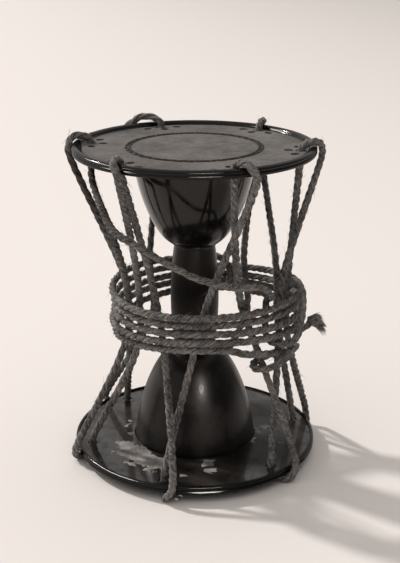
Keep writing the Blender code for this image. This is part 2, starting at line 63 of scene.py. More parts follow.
lens = bpy.data.cameras.new("view_camera")
lens.lens = FOCAL_LENGTH
lens.sensor_width = SENSOR_WIDTH
lens.shift_y = LENS_SHIFT
camera = bpy.data.objects.new("view_camera", lens)
camera.location = CAMERA_PLACE
camera.rotation_euler = (math.pi / 2 - CAMERA_PITCH, 0.0, -CAMERA_YAW)
bpy.context.scene.collection.objects.link(camera)
bpy.context.scene.camera = camera
print("camera at", CAMERA_PLACE)

# %% [markdown]
# The ropes are the hardest part of this drum, so they are next. Before a rope can be drawn, its route has
# to be known. The route could be traced by eye in the viewport, but here it follows from the sizes of the
# heads, the holes and the waist, which are the same sizes that the solids were made from.

# %% Sizes of the heads and the cords
BODY_LENGTH = 0.2530
CUP_RADIUS = 0.0515
UPPER_HEAD_RADIUS = 0.1000
LOWER_HEAD_RADIUS = 0.1030
RIM_HEIGHT = 0.0070
RIM_WIDTH = 0.0066
SKIN_RECESS = 0.0033
SKIN_THICKNESS = 0.0010
CLEARANCE = 0.0003
CORD_DIAMETER = 0.0062
CORD_PITCH = CORD_DIAMETER + 0.0005
CORD_RADIUS = CORD_DIAMETER / 2
CORD_FLAT = 0.1 * CORD_DIAMETER
HOLE_RADIUS = CORD_RADIUS + 0.0012
HOLE_INSET = 0.0134
RIM_HALF = RIM_HEIGHT / 2
SKIN_FACE = RIM_HALF - SKIN_RECESS
SKIN_BACK = SKIN_FACE - SKIN_THICKNESS
LOOP_RISE = RIM_HALF + CLEARANCE + CORD_RADIUS
LOWER_MIDDLE = LOOP_RISE + CORD_RADIUS - CORD_FLAT
BODY_BOTTOM = LOWER_MIDDLE - SKIN_BACK + CLEARANCE
BODY_TOP = BODY_BOTTOM + BODY_LENGTH
UPPER_MIDDLE = BODY_TOP + CLEARANCE - SKIN_BACK
print(f"rims at {LOWER_MIDDLE * 1000:.1f} and {UPPER_MIDDLE * 1000:.1f} mm")

# %% [markdown]
# Each head has six holes. The rope comes up outside the rim, bends over it and goes in through the hole.
# Twelve loops could be drawn one by one, but they are nearly alike, so one list of points across the rim is
# enough. A loop lies a little askew, because the rope leans from one hole to the next.

# %% One loop over a rim
OUTER_SKEW = 3.5
HOLE_SKEW = -3.0


def polar(radius, angle, height):
    turn = math.radians(angle)
    return Vector((radius * math.cos(turn), radius * math.sin(turn), height))


def loop_points(radius, middle, facing, angle, outer_skew, slack=0.0):
    """From below the rim's outside, over the playing side and in through the hole."""
    reach = radius + CORD_RADIUS + 2 * CLEARANCE
    hole = radius - HOLE_INSET
    rise = LOOP_RISE + CLEARANCE / 2 + slack
    section = (
        (reach + CLEARANCE, -1.25 * RIM_HALF),
        (reach, 0.2 * RIM_HALF),
        (reach - 0.12 * CORD_RADIUS, 0.45 * rise),
        (reach - 0.75 * CORD_RADIUS, 0.85 * rise),
        (radius - 0.4 * RIM_WIDTH, rise),
        (radius - 1.1 * RIM_WIDTH, 0.90 * rise),
        (hole + 0.55 * CORD_RADIUS, 0.50 * rise),
        (hole + 0.06 * CORD_RADIUS, 0.5 * CORD_FLAT),
        (hole, SKIN_BACK - 2 * SKIN_THICKNESS),
        (hole, SKIN_BACK - 5 * SKIN_THICKNESS),
    )
    points = []
    in_hole = len(section) - 4
    for i, (across, height) in enumerate(section):
        share = min(i / in_hole, 1.0)
        turn = angle + outer_skew + (HOLE_SKEW - outer_skew) * share
        points.append(polar(across, turn, middle + facing * height))
    return points


print("points in one loop:", len(loop_points(UPPER_HEAD_RADIUS, UPPER_MIDDLE, 1, 0.0, OUTER_SKEW)))

# %% [markdown]
# The loops of a head are a sixth of a turn apart, and the lower holes lie between the upper ones, so that
# the spans zigzag. One upper loop at the back is slack and stands higher, which makes the little arch
# behind the head.

# %% Twelve loops
LACES = 6
STEP_ANGLE = 360.0 / LACES
UPPER_FIRST_ANGLE = 53.0
LOWER_FIRST_ANGLE = 77.0
SLACK_LOOP = 1
SLACK_SKEW = 15.0
SLACK_RISE = 0.0018


def upper_loop(k):
    angle = UPPER_FIRST_ANGLE + STEP_ANGLE * k
    if k == SLACK_LOOP:
        return loop_points(UPPER_HEAD_RADIUS, UPPER_MIDDLE, 1, angle, SLACK_SKEW, SLACK_RISE)
    return loop_points(UPPER_HEAD_RADIUS, UPPER_MIDDLE, 1, angle, OUTER_SKEW)


def lower_loop(k):
    angle = LOWER_FIRST_ANGLE + STEP_ANGLE * k
    return loop_points(LOWER_HEAD_RADIUS, LOWER_MIDDLE, -1, angle, OUTER_SKEW)


loops = [upper_loop(k) for k in range(LACES)] + [lower_loop(k) for k in range(LACES)]
print("loops:", len(loops), "and the highest point:", round(max(p.z for loop in loops for p in loop), 4))

# %% [markdown]
# Between two loops the rope runs straight, apart from the waist, where the winding draws it in. Two points,
# one above and one below the winding, are enough to bend each span. They lie on an oval, because the
# winding is a little wider than it is deep, and each span has its own small turns along that oval.

# %% Where the winding draws the strands in
# Degrees that each span is turned along the oval, above the winding and below it
SPAN_TURNS = (
    (20.0, 8.0),
    (8.0, 3.0),
    (-15.0, -10.0),
    (-12.0, -18.0),
    (-17.0, -16.0),
    (-4.0, -4.0),
    (-5.0, -1.0),
    (-5.5, 6.0),
    (-2.0, -8.0),
    (-9.0, -5.0),
    (-0.5, 1.0),
    (-5.0, -7.0),
)
WAIST_CENTRE_X = 0.0100
WAIST_HALF_WIDTH = 0.0770
WAIST_HALF_DEPTH = 0.0700
WAIST_HEIGHT = 0.1290
WAIST_PITCH = 0.0069
WAIST_PASSES = 5
WAIST_SPREAD = 0.30
WAIST_STEP_ANGLE = 15.0
WAIST_SAG = WAIST_HALF_WIDTH * (1.0 - math.cos(math.radians(WAIST_STEP_ANGLE / 2)))


def waist_point(angle, outward, height):
    turn = math.radians(angle)
    across = (WAIST_HALF_WIDTH + outward) * math.cos(turn)
    along = (WAIST_HALF_DEPTH + outward) * math.sin(turn)
    return Vector((WAIST_CENTRE_X + across, along, height))


def waist_angle(point):
    across = (point.x - WAIST_CENTRE_X) / WAIST_HALF_WIDTH
    return math.degrees(math.atan2(point.y / WAIST_HALF_DEPTH, across))


def pinch_points(top, bottom, span):
    """Where the winding draws a strand in, above its turns and below them."""
    reach = WAIST_PITCH * (1.0 + 0.6 * WAIST_SPREAD) * (WAIST_PASSES + 1) / 2
    heights = (WAIST_HEIGHT + reach, WAIST_HEIGHT - reach)
    points = []
    for lean, turn, height in zip((0.55, 0.45), SPAN_TURNS[span], heights):
        angle = waist_angle(bottom.lerp(top, lean)) + turn
        points.append(waist_point(angle, -CORD_PITCH - WAIST_SAG - CLEARANCE, height))
    return points


print(f"winding {2000 * WAIST_HALF_WIDTH:.0f} mm wide and {2000 * WAIST_HALF_DEPTH:.0f} mm deep")

# %% [markdown]
# Loops and spans now follow each other in one list of points: down to a lower loop, up to the next upper
# one, and so on round the drum. A Bezier curve through them would need its handles set by hand. A
# Catmull-Rom curve needs none, and its centripetal form never loops back on itself where points are close
# together.

# %% Once round the drum
CURVE_SPACING = 0.001
KNOTTED_LOOP = 2


def smooth_curve(points):
    """A centripetal Catmull-Rom curve through all the points."""
    ends = [2 * points[0] - points[1]] + list(points) + [2 * points[-1] - points[-2]]
    curve = []
    for p0, p1, p2, p3 in zip(ends, ends[1:], ends[2:], ends[3:]):
        t1 = (p1 - p0).length ** 0.5
        t2 = t1 + (p2 - p1).length ** 0.5
        t3 = t2 + (p3 - p2).length ** 0.5
        count = max(2, math.ceil((p2 - p1).length / CURVE_SPACING))
        for i in range(count):
            t = t1 + (t2 - t1) * i / count
            a1 = p0.lerp(p1, t / t1)
            a2 = p1.lerp(p2, (t - t1) / (t2 - t1))
            a3 = p2.lerp(p3, (t - t2) / (t3 - t2))
            b1 = a1.lerp(a2, t / t2)
            b2 = a2.lerp(a3, (t - t1) / (t3 - t1))
            curve.append(b1.lerp(b2, (t - t1) / (t2 - t1)))
    curve.append(points[-1].copy())
    return curve


def lacing_spans():
    """From the knotted loop round the drum to the strand beside it."""
    route = list(reversed(upper_loop(KNOTTED_LOOP)))
    for step in range(LACES):
        lower = list(reversed(lower_loop(KNOTTED_LOOP - 1 - step)))
        route += pinch_points(route[-1], lower[0], 2 * step)
        route += lower
        if step < LACES - 1:
            upper = list(reversed(upper_loop(KNOTTED_LOOP - 1 - step)))
            route += pinch_points(upper[0], lower[-1], 2 * step + 1)[::-1]
            route += upper
    return route


print("points in the twelve spans:", len(lacing_spans()))

# %% [markdown]
# The lacing's long end leaves the knotted hole and crosses the front of the drum on the outside. The
# strands there slope in from the rim to the winding, so each point is given by its bearing, by its share of
# the way up that slope, and by how many rope widths it lies outside the strands.

# %% The long end across the front
def waist_reach(bearing):
    """How far the winding's cord is from the drum's axis, at a bearing from that axis."""
    turn = math.radians(bearing)
    across = math.cos(turn) / WAIST_HALF_WIDTH
    along = math.sin(turn) / WAIST_HALF_DEPTH
    centre = WAIST_CENTRE_X / WAIST_HALF_WIDTH
    size = across**2 + along**2
    middle = across * centre
    return (middle + math.sqrt(middle**2 - size * (centre**2 - 1.0))) / size


def side_point(bearing, share, cords):
    """By the strands, at a share of the way up from the winding to the upper head."""
    reach = waist_reach(bearing) * (1.0 - share) + UPPER_HEAD_RADIUS * share
    height = WAIST_HEIGHT * (1.0 - share) + UPPER_MIDDLE * share
    return polar(reach + cords * CORD_PITCH, bearing, height)


def diagonal_lead():
    return [
        side_point(178.0, 0.82, -1.35),
        side_point(210.0, 0.68, -0.90),
        side_point(226.0, 0.61, 0.45),
        side_point(238.0, 0.56, 0.60),
        side_point(254.5, 0.46, 0.15),
        side_point(273.0, 0.36, 0.05),
        side_point(294.5, 0.30, 0.20),
        side_point(309.0, 0.27, 0.10),
    ]


print("points across the front:", len(diagonal_lead()))

# %% [markdown]
# At the right the long end takes two turns round the whole winding and ends loose. For that the height of
# the winding has to be known at every angle. It drops by one pitch with each turn, spreads at both sides
# and sags to the left, as a winding pulled tight by hand does.

# %% Two turns round the winding
WAIST_FRONT_ANGLE = 270.0
WAIST_SPREAD_ANGLE = 350.0
WAIST_DIP = 0.0045
WAIST_DIP_ANGLE = 195.0
FRAPPING_ANGLES = (312.0, 342.0)


def band_height(angle):
    """The height of the first turn at an angle, and of later turns at that angle plus whole turns."""
    passed = (angle - WAIST_FRONT_ANGLE) / 360.0
    middle = (WAIST_PASSES - 1) / 2
    spread = 1.0 + WAIST_SPREAD * math.cos(math.radians(angle - WAIST_SPREAD_ANGLE)) ** 2
    dip = WAIST_DIP * max(0.0, math.cos(math.radians(angle - WAIST_DIP_ANGLE))) ** 2
    return WAIST_HEIGHT + (middle - passed) * WAIST_PITCH * spread - dip


def frapping_turns():
    """Over the winding, down inside it and up outside it, twice, and then the loose end."""
    inside = -1.10 * CORD_PITCH
    outside = 1.35 * CORD_PITCH
    ease = 0.45 * CORD_PITCH
    route = []
    for start in FRAPPING_ANGLES:
        top = band_height(start) + 1.15 * CORD_PITCH
        bottom = band_height(start + 360.0 * (WAIST_PASSES - 2)) - 1.15 * CORD_PITCH
        if route:
            route += [
                waist_point(start - 16.0, outside, bottom + ease),
                waist_point(start - 7.0, outside, top - ease),
            ]
        route += [
            waist_point(start, 0.0, top + 0.1 * CORD_PITCH),
            waist_point(start + 2.0, inside, top - ease),
            waist_point(start + 3.0, inside, bottom + ease),
            waist_point(start + 4.5, 0.0, bottom),
        ]
    last = FRAPPING_ANGLES[-1]
    return route + [
        waist_point(last + 7.0, 1.3 * CORD_PITCH, bottom + 0.6 * CORD_PITCH),
        waist_point(last + 9.0, 1.9 * CORD_PITCH, bottom + 1.2 * CORD_PITCH),
        waist_point(last + 10.5, 2.7 * CORD_PITCH, bottom + 1.3 * CORD_PITCH),
    ]


print("points in the two turns:", len(frapping_turns()))

# %% [markdown]
# The lacing's other end is tucked behind the long one. It follows the long end's own curve, one rope width
# further in. Then the whole lacing is one line: the long end backwards, once round the drum, and the tuck.

# %% The tucked end and the whole lacing
TUCK_DROP = 0.034
TUCK_LENGTH = 0.020
TUCK_STEPS = 5


def tucked_end(strand, start):
    """The cord's end, laid up behind a strand towards the head."""
    spacing = round(TUCK_LENGTH / TUCK_STEPS / CURVE_SPACING)
    side = -strand[start]
    points = []
    for i in range(TUCK_STEPS + 1):
        at = start - i * spacing
        axis = (strand[at - spacing] - strand[at + spacing]).normalized()
        side = (side - axis * side.dot(axis)).normalized()
        points.append(strand[at] + side * (CORD_PITCH + 3 * CLEARANCE))
    return points


def lacing_route():
    hole = upper_loop(KNOTTED_LOOP)[-1]
    lead = list(reversed(diagonal_lead() + frapping_turns()))
    spans = lacing_spans()
    diagonal = smooth_curve([hole] + diagonal_lead())
    start = next(i for i, point in enumerate(diagonal) if hole.z - point.z > TUCK_DROP)
    pinch = pinch_points(diagonal[start], spans[-1], len(SPAN_TURNS) - 1)[::-1]
    return lead + spans + pinch + tucked_end(diagonal, start)


lacing_line = smooth_curve(lacing_route())
print("lacing line:", len(lacing_line), "points")

# %% [markdown]
# The waist rope ends in a hitch round two strands of the lacing at the right front. A hitch is easiest to
# draw beside the strands that it holds, so its points are counted in rope widths: across the two strands,
# out from them and up along them.

# %% The hitch at the right front
KNOT_DROP = 0.028
KNOT_STRAND_ANGLES = (306.0, 330.0)


def strand_at(curve, height, near):
    level = [p for p in curve if abs(p.z - height) < CURVE_SPACING]
    return min(level, key=lambda p: (p - near).length)


def strand_direction(curve, point):
    at = curve.index(point)
    along = (curve[at + 5] - curve[at - 5]).normalized()
    return along if along.z > 0 else -along


def waist_knot(lacing):
    """Round the two strands of the right-hand front lower loop, through itself, and out to its tail."""
    height = WAIST_HEIGHT - KNOT_DROP
    places = [waist_point(angle, 0.0, height) for angle in KNOT_STRAND_ANGLES]
    left, right = [strand_at(lacing, height, place) for place in places]
    up = (strand_direction(lacing, left) + strand_direction(lacing, right)).normalized()
    middle = (left + right) / 2
    half = (right - left).length / 2
    across = (right - left).normalized()
    outward = across.cross(up)
    cord = CORD_PITCH
    side = half + cord
    steps = (
        (-side - 0.3 * cord, 1.0 * cord, 0.95 * cord),
        (-half, 1.35 * cord, 0.60 * cord),
        (0.0, 1.35 * cord, 0.05 * cord),
        (half, 1.25 * cord, -0.50 * cord),
        (side + 0.12 * cord, 0.0, -0.70 * cord),
        (half, -1.15 * cord, -0.65 * cord),
        (-half, -1.15 * cord, -0.75 * cord),
        (-side - 0.15 * cord, 0.0, -0.95 * cord),
        (-half, 1.40 * cord, -1.15 * cord),
        (-0.1 * cord, 2.45 * cord, -0.55 * cord),
        (half, 2.35 * cord, 0.10 * cord),
        (side + 0.3 * cord, 1.60 * cord, -0.10 * cord),
        (side + 1.2 * cord, 1.10 * cord, -0.15 * cord),
    )
    return [middle + across * a + outward * b + up * c for a, b, c in steps]


print("points in the hitch:", len(waist_knot(lacing_line)))

# %% [markdown]
# The waist rope starts under its own turns, goes four and a half times round the strands and ends in the
# hitch. A slow wander in and out keeps the turns from looking like a machine's.

# %% Route of the waist rope
WAIST_START_ANGLE = 112.0
WAIST_CAUGHT_ANGLE = 72.0
WAIST_END_ANGLE = 1722.0
WAIST_WANDER = 0.0012
WAIST_WANDER_RATE = 0.37


def band_point(angle):
    wander = WAIST_WANDER * (1.0 + math.sin(math.radians(WAIST_WANDER_RATE * angle)))
    return waist_point(angle, wander, band_height(angle))


def waist_route(lacing):
    low = band_height(WAIST_START_ANGLE + 360.0 * (WAIST_PASSES - 2))
    high = band_height(WAIST_START_ANGLE)
    caught = WAIST_CAUGHT_ANGLE
    inside = -CORD_PITCH - WAIST_SAG
    start = [
        waist_point(caught, inside, low),
        waist_point(caught, inside, (low + high) / 2),
        waist_point(caught + 1.0, inside, high - 0.7 * CORD_PITCH),
        waist_point(caught + 5.5, -0.75 * CORD_PITCH, high + 0.1 * CORD_PITCH),
        waist_point(caught + 12.0, -0.25 * CORD_PITCH, high + 0.35 * CORD_PITCH),
        waist_point(caught + 20.0, 0.0, high + 0.20 * CORD_PITCH),
    ]
    count = round((WAIST_END_ANGLE - WAIST_START_ANGLE) / WAIST_STEP_ANGLE)
    step = (WAIST_END_ANGLE - WAIST_START_ANGLE) / count
    turns = [band_point(WAIST_START_ANGLE + step * i) for i in range(count + 1)]
    lead = [waist_point(WAIST_END_ANGLE + 10.0, 0.35 * CORD_PITCH, turns[-1].z - 0.55 * CORD_PITCH)]
    return start + turns + lead + waist_knot(lacing)


waist_line = smooth_curve(waist_route(lacing_line))
print("waist line:", len(waist_line), "points")

# %% [markdown]
# Hemp rope is three strands twisted together. A curve with a round bevel would give a smooth hose, and a
# bump texture would lose the knobbly outline that shows against the pale floor. So each strand will be its
# own tube that winds round the rope's line. Winding needs a direction across the line at every point. It is
# passed on from point to point without turning, because one worked out anew each time would flip where the
# rope bends.

# %% A frame carried along a line
RING_STEP = 0.00105


def unit(rows):
    return rows / np.linalg.norm(rows, axis=-1, keepdims=True)


def even_line(line, step):
    """Points an equal step apart along a line, and how far along each one is."""
    points = np.array([tuple(p) for p in line])
    run = np.concatenate([[0.0], np.cumsum(np.linalg.norm(np.diff(points, axis=0), axis=1))])
    along = np.linspace(0.0, run[-1], round(run[-1] / step) + 1)
    return np.stack([np.interp(along, run, points[:, i]) for i in range(3)], axis=1), along


def carried_frame(path):
    """Directions along the path, and two across it that don't turn about it."""
    ahead = unit(np.gradient(path, axis=0))
    side = np.zeros_like(path)
    start = np.cross(ahead[0], (0.0, 0.0, 1.0))
    side[0] = start / np.linalg.norm(start)
    for i in range(1, len(path)):
        carried = side[i - 1] - ahead[i] * side[i - 1].dot(ahead[i])
        side[i] = carried / np.linalg.norm(carried)
    return ahead, side, np.cross(ahead, side)


print("rings along the lacing:", len(even_line(lacing_line, RING_STEP)[0]))

# %% [markdown]
# Old rope is never even. Slow random changes of the twist, the thickness and the flatness keep the strands
# from looking machine-made. The random numbers start from a fixed seed, so every run gives the same rope.

# %% Three twisted strands
STRANDS = 3
STRAND_SIDES = 8
STRAND_RADIUS = 0.00182
STRAND_OFFSET = 0.00130
LAY_LENGTH = 0.022
# How much each of these changes along a rope, and over how many rings
TWIST_CHANGE = (0.35, 45)
SWELL_CHANGE = (0.05, 30)
FLAT_CHANGE = (0.12, 38)
PLACE_CHANGE = (0.20, 25)
THICKNESS_CHANGE = (0.06, 6)
rope_noise = np.random.default_rng(7)


def slow_noise(count, change):
    """Random numbers for a number of rings, which run smoothly up and down."""
    amount, every = change
    knots = rope_noise.uniform(-1.0, 1.0, count // every + 3)
    return amount * np.interp(np.arange(count) / every, np.arange(len(knots)), knots)


def rope_wear(count):
    """How an old rope differs along its length: its twist, its thickness, and how flat it is pressed."""
    pace = 1.0 + slow_noise(count, TWIST_CHANGE)
    twist = -math.tau * np.cumsum(pace) * RING_STEP / LAY_LENGTH
    swell = 1.0 + slow_noise(count, SWELL_CHANGE)
    return twist, swell, slow_noise(count, FLAT_CHANGE)


def strand_rings(path, wear, number):
    """The ring points of one strand: path points by sides by three."""
    _, side, over = carried_frame(path)
    twist, swell, flat = wear
    turn = twist + math.tau * number / STRANDS + slow_noise(len(path), PLACE_CHANGE)
    wide, thin = np.cos(turn) * (1.0 + flat), np.sin(turn) * (1.0 - flat)
    out = wide[:, None] * side + thin[:, None] * over
    centre = path + STRAND_OFFSET * swell[:, None] * out
    heading = unit(np.gradient(centre, axis=0))
    across = unit(np.cross(heading, out))
    outward = np.cross(across, heading)
    thick = STRAND_RADIUS * swell * (1.0 + slow_noise(len(path), THICKNESS_CHANGE))
    angles = math.tau * np.arange(STRAND_SIDES) / STRAND_SIDES + math.pi
    bend_out = np.cos(angles)[None, :, None] * outward[:, None, :]
    bend_side = np.sin(angles)[None, :, None] * across[:, None, :]
    return centre[:, None, :] + thick[:, None, None] * (bend_out + bend_side)


print(f"rope {2000 * (STRAND_OFFSET + STRAND_RADIUS):.2f} mm thick, one turn in {1000 * LAY_LENGTH:.0f} mm")

# %% [markdown]
# The rings become one mesh for each rope. Its UV map is made with it, because the finish will need to know
# where on a strand it is: the first number goes round a strand, with a whole number for each, and the
# second runs along the rope in centimetres. The lowest loops are pressed flat by the floor.

# %% Rope meshes
CENTIMETRES = 100


def rope_mesh(name, line):
    """A three-strand rope as one mesh, with a UV map that runs along its strands."""
    path, along = even_line(line, RING_STEP)
    rows, sides = len(path), STRAND_SIDES
    wear = rope_wear(rows)
    points, faces, uvs = [], [], []
    for number in range(STRANDS):
        base = number * rows * sides
        points.append(strand_rings(path, wear, number).reshape(-1, 3))
        for i in range(rows - 1):
            v0, v1 = along[i] * CENTIMETRES, along[i + 1] * CENTIMETRES
            for j in range(sides):
                k = (j + 1) % sides
                low, high = base + i * sides, base + (i + 1) * sides
                faces.append((low + j, low + k, high + k, high + j))
                u0, u1 = number + j / sides, number + (j + 1) / sides
                uvs += [u0, v0, u1, v0, u1, v1, u0, v1]
        faces.append(tuple(base + j for j in reversed(range(sides))))
        faces.append(tuple(base + (rows - 1) * sides + j for j in range(sides)))
        uvs += [number + 0.5, 0.0] * sides + [number + 0.5, along[-1] * CENTIMETRES] * sides
    spots = np.concatenate(points)
    spots[:, 2] = np.maximum(spots[:, 2], 0.0)
    mesh = bpy.data.meshes.new(name)
    mesh.from_pydata(spots.tolist(), [], faces)
    mesh.uv_layers.new(name="strand").data.foreach_set("uv", uvs)
    mesh.polygons.foreach_set("use_smooth", [True] * len(faces))
    mesh.update()
    rope = bpy.data.objects.new(name, mesh)
    bpy.context.scene.collection.objects.link(rope)
    print(f"{name}: {along[-1]:.3f} m, {len(faces)} faces")
    return rope, path, float(along[-1])


lacing_rope, lacing_path, lacing_length = rope_mesh("lacing_rope", lacing_line)
waist_rope, waist_path, waist_length = rope_mesh("waist_rope", waist_line)

# %% [markdown]
# Old hemp is hairy. Particle hair isn't exported, so each fibre is a thin tapered spike of three sides. It
# has few faces, because a few thousand fibres are needed.

# %% One fibre
FIBRE_SIDES = 3
FIBRE_TAPER = 0.6


def add_fibre(points, faces, line, radius):
    """A three-sided spike along a short line, which narrows to a point."""
    base = len(points)
    sides = FIBRE_SIDES
    for i, spot in enumerate(line[:-1]):
        ahead = (line[i + 1] - spot).normalized()
        side = ahead.orthogonal().normalized()
        over = ahead.cross(side)
        size = radius * (1.0 - FIBRE_TAPER * i / (len(line) - 1))
        for j in range(sides):
            angle = math.tau * j / sides
            points.append(spot + (side * math.cos(angle) + over * math.sin(angle)) * size)
    points.append(line[-1])
    for i in range(len(line) - 2):
        low, high = base + sides * i, base + sides * (i + 1)
        for j in range(sides):
            k = (j + 1) % sides
            faces.append((low + j, low + k, high + k, high + j))
    tip = len(points) - 1
    for j in range(sides):
        faces.append((tip - sides + j, tip - sides + (j + 1) % sides, tip))
    faces.append(tuple(base + j for j in reversed(range(sides))))


def fibre_piece(name, points, faces):
    mesh = bpy.data.meshes.new(name)
    mesh.from_pydata([tuple(p) for p in points], [], faces)
    mesh.polygons.foreach_set("use_smooth", [True] * len(faces))
    piece = bpy.data.objects.new(name, mesh)
    bpy.context.scene.collection.objects.link(piece)
    print(f"{name}: {len(faces)} faces")
    return piece


print("sides of one fibre:", FIBRE_SIDES)

# %% [markdown]
# Stray fibres stand off both ropes at random places, in either direction, and curl a little. They blur the
# rope's outline as real fibres do. Their random numbers start from a fixed seed, as the ropes' do.

# %% Stray fibres
FIBRE_RADIUS = 0.00013
FIBRE_LENGTHS = (0.0025, 0.0075)
LACING_FIBRES = 1800
WAIST_FIBRES = 1100
BARE_RINGS = 8
fibre_dice = random.Random(11)


def stray_fibres(name, path, count):
    """Fibres all along a rope's path, apart from the rings next to its ends."""
    ahead, side, over = carried_frame(path)
    points, faces = [], []
    for _ in range(count):
        i = fibre_dice.randrange(BARE_RINGS, len(path) - BARE_RINGS)
        angle = fibre_dice.uniform(0.0, math.tau)
        out = Vector(side[i]) * math.cos(angle) + Vector(over[i]) * math.sin(angle)
        run = Vector(ahead[i]) * fibre_dice.choice((-1, 1))
        length = fibre_dice.uniform(*FIBRE_LENGTHS)
        lift = fibre_dice.uniform(0.15, 0.65)
        start = Vector(path[i]) + out * (0.86 * CORD_RADIUS)
        curl = run.cross(out) * fibre_dice.uniform(-0.5, 0.5)
        line = [start]
        for step in (0.35, 0.7, 1.0):
            bend = run * step + out * lift * step + curl * step * step
            line.append(start + bend * length)
        for spot in line:
            spot.z = max(spot.z, FIBRE_RADIUS)
        add_fibre(points, faces, line, FIBRE_RADIUS)
    return fibre_piece(name, points, faces)


lacing_fibres = stray_fibres("lacing_stray_fibres", lacing_path, LACING_FIBRES)
waist_fibres = stray_fibres("waist_stray_fibres", waist_path, WAIST_FIBRES)

# %% [markdown]
# The loose end of the lacing has come undone into a tuft. The same spikes make it, only thicker. They start
# inside the rope, so that no gap shows, fan out and droop under their weight.

# %% The frayed end
TUFT_FIBRES = 420
TUFT_LENGTH = 0.014
TUFT_ROOT = 0.009


def frayed_tuft(name, path):
    """Fibres that fan out from the start of a path and droop."""
    end = Vector(path[0])
    ahead = (end - Vector(path[6])).normalized()
    side = ahead.orthogonal().normalized()
    over = ahead.cross(side)
    points, faces = [], []
    for _ in range(TUFT_FIBRES):
        angle = fibre_dice.uniform(0.0, math.tau)
        share = math.sqrt(fibre_dice.random())
        out = side * math.cos(angle) + over * math.sin(angle)
        start = end + out * (share * 1.05 * CORD_RADIUS) - ahead * TUFT_ROOT
        reach = TUFT_LENGTH * fibre_dice.uniform(0.70, 1.0)
        spread = out * (share * fibre_dice.uniform(0.10, 0.50))
        droop = Vector((0.0, 0.0, -1.0)) * fibre_dice.uniform(0.15, 0.75)
        line = [start]
        for step in (0.3, 0.55, 0.8, 1.0):
            line.append(start + (ahead * step + spread * step + droop * step**2) * reach)
        add_fibre(points, faces, line, FIBRE_RADIUS * fibre_dice.uniform(2.5, 6.0))
    return fibre_piece(name, points, faces)


frayed_end = frayed_tuft("frayed_end", lacing_path)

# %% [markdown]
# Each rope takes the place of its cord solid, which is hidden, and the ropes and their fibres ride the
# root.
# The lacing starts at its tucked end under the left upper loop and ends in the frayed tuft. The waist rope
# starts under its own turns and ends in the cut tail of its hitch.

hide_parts("lacing_cord")
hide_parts("waist_cord")
for piece in (lacing_rope, waist_rope, lacing_fibres, waist_fibres, frayed_end):
    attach(piece, "root")

# %% [markdown]
# The body was turned on a lathe from one block: two cups with a barrel-shaped neck between them. Blender's
# Spin does what the lathe did. A plane is merged to one vertex, the vertex is extruded from point to point
# along half of the section, and the line of vertices is spun round the upright axis.

# %% The lathe
TURN_STEPS = 128
MERGE_DISTANCE = 0.00002
SMOOTH_ANGLE = math.radians(38)


def turn_piece(name, profile):
    """Extrudes a vertex along (radius, height) points and spins the line about the upright axis."""
    bpy.ops.object.select_all(action="DESELECT")
    bpy.ops.mesh.primitive_plane_add(size=0.01)
    piece = bpy.context.object
    piece.name = piece.data.name = name
    bpy.ops.object.mode_set(mode="EDIT")
    bpy.ops.mesh.merge(type="CENTER")
    radius, height = profile[0]
    bpy.ops.transform.translate(value=(radius, 0.0, height))
    for next_radius, next_height in profile[1:]:
        move = (next_radius - radius, 0.0, next_height - height)
        bpy.ops.mesh.extrude_vertices_move(TRANSFORM_OT_translate={"value": move})
        radius, height = next_radius, next_height
    bpy.ops.mesh.select_all(action="SELECT")
    bpy.ops.mesh.spin(steps=TURN_STEPS, angle=math.tau, center=(0.0, 0.0, 0.0), axis=(0.0, 0.0, 1.0))
    bpy.ops.mesh.select_all(action="SELECT")
    bpy.ops.mesh.remove_doubles(threshold=MERGE_DISTANCE)
    bpy.ops.mesh.normals_make_consistent(inside=False)
    bpy.ops.object.mode_set(mode="OBJECT")
    bpy.ops.object.shade_smooth_by_angle(angle=SMOOTH_ANGLE)
    print(f"{name}: {len(piece.data.polygons)} faces")
    return piece


def arc(centre, half_width, half_height, start, end, count):
    """Points on an ellipse from one angle to another, in degrees."""
    points = []
    for i in range(count):
        angle = math.radians(start + (end - start) * i / (count - 1))
        across = centre[0] + half_width * math.cos(angle)
        points.append((across, centre[1] + half_height * math.sin(angle)))
    return points


print("lathe ready:", TURN_STEPS, "steps round")

# %% [markdown]
# The section of the body runs down the outside, over the lip, the cup, the raised ring and the swelling
# neck, and back up the inside, through the bowls and the bore that joins them. Only the upper half is
# worked out. The lower half is its mirror image.

# %% Wooden body
CUP_LENGTH = 0.0800
CUP_FULLNESS = 1.5
CUP_SHOULDER = 0.6
LIP_WIDTH = 0.0050
LIP_ROUND = 0.0012
BOWL_DEPTH = 0.0700
BORE_RADIUS = 0.0105
NECK_END_RADIUS = 0.0172
NECK_SWELL = 0.0031
SWELL_STEPS = 12
NECK_RING_HEIGHT = 0.0007
NECK_RING_WIDTH = 0.0024


def cup_outline(length, wide, narrow, count, start):
    """(radius, depth) from the rim down to the neck, closer together where the wall turns in."""
    points = []
    for i in range(count):
        depth = start + (length - start) * math.sin(math.pi / 2 * i / (count - 1))
        share = min(depth / length, 1.0)
        bulge = (1.0 - share**CUP_FULLNESS) ** CUP_SHOULDER
        points.append((narrow + (wide - narrow) * bulge, depth))
    return points


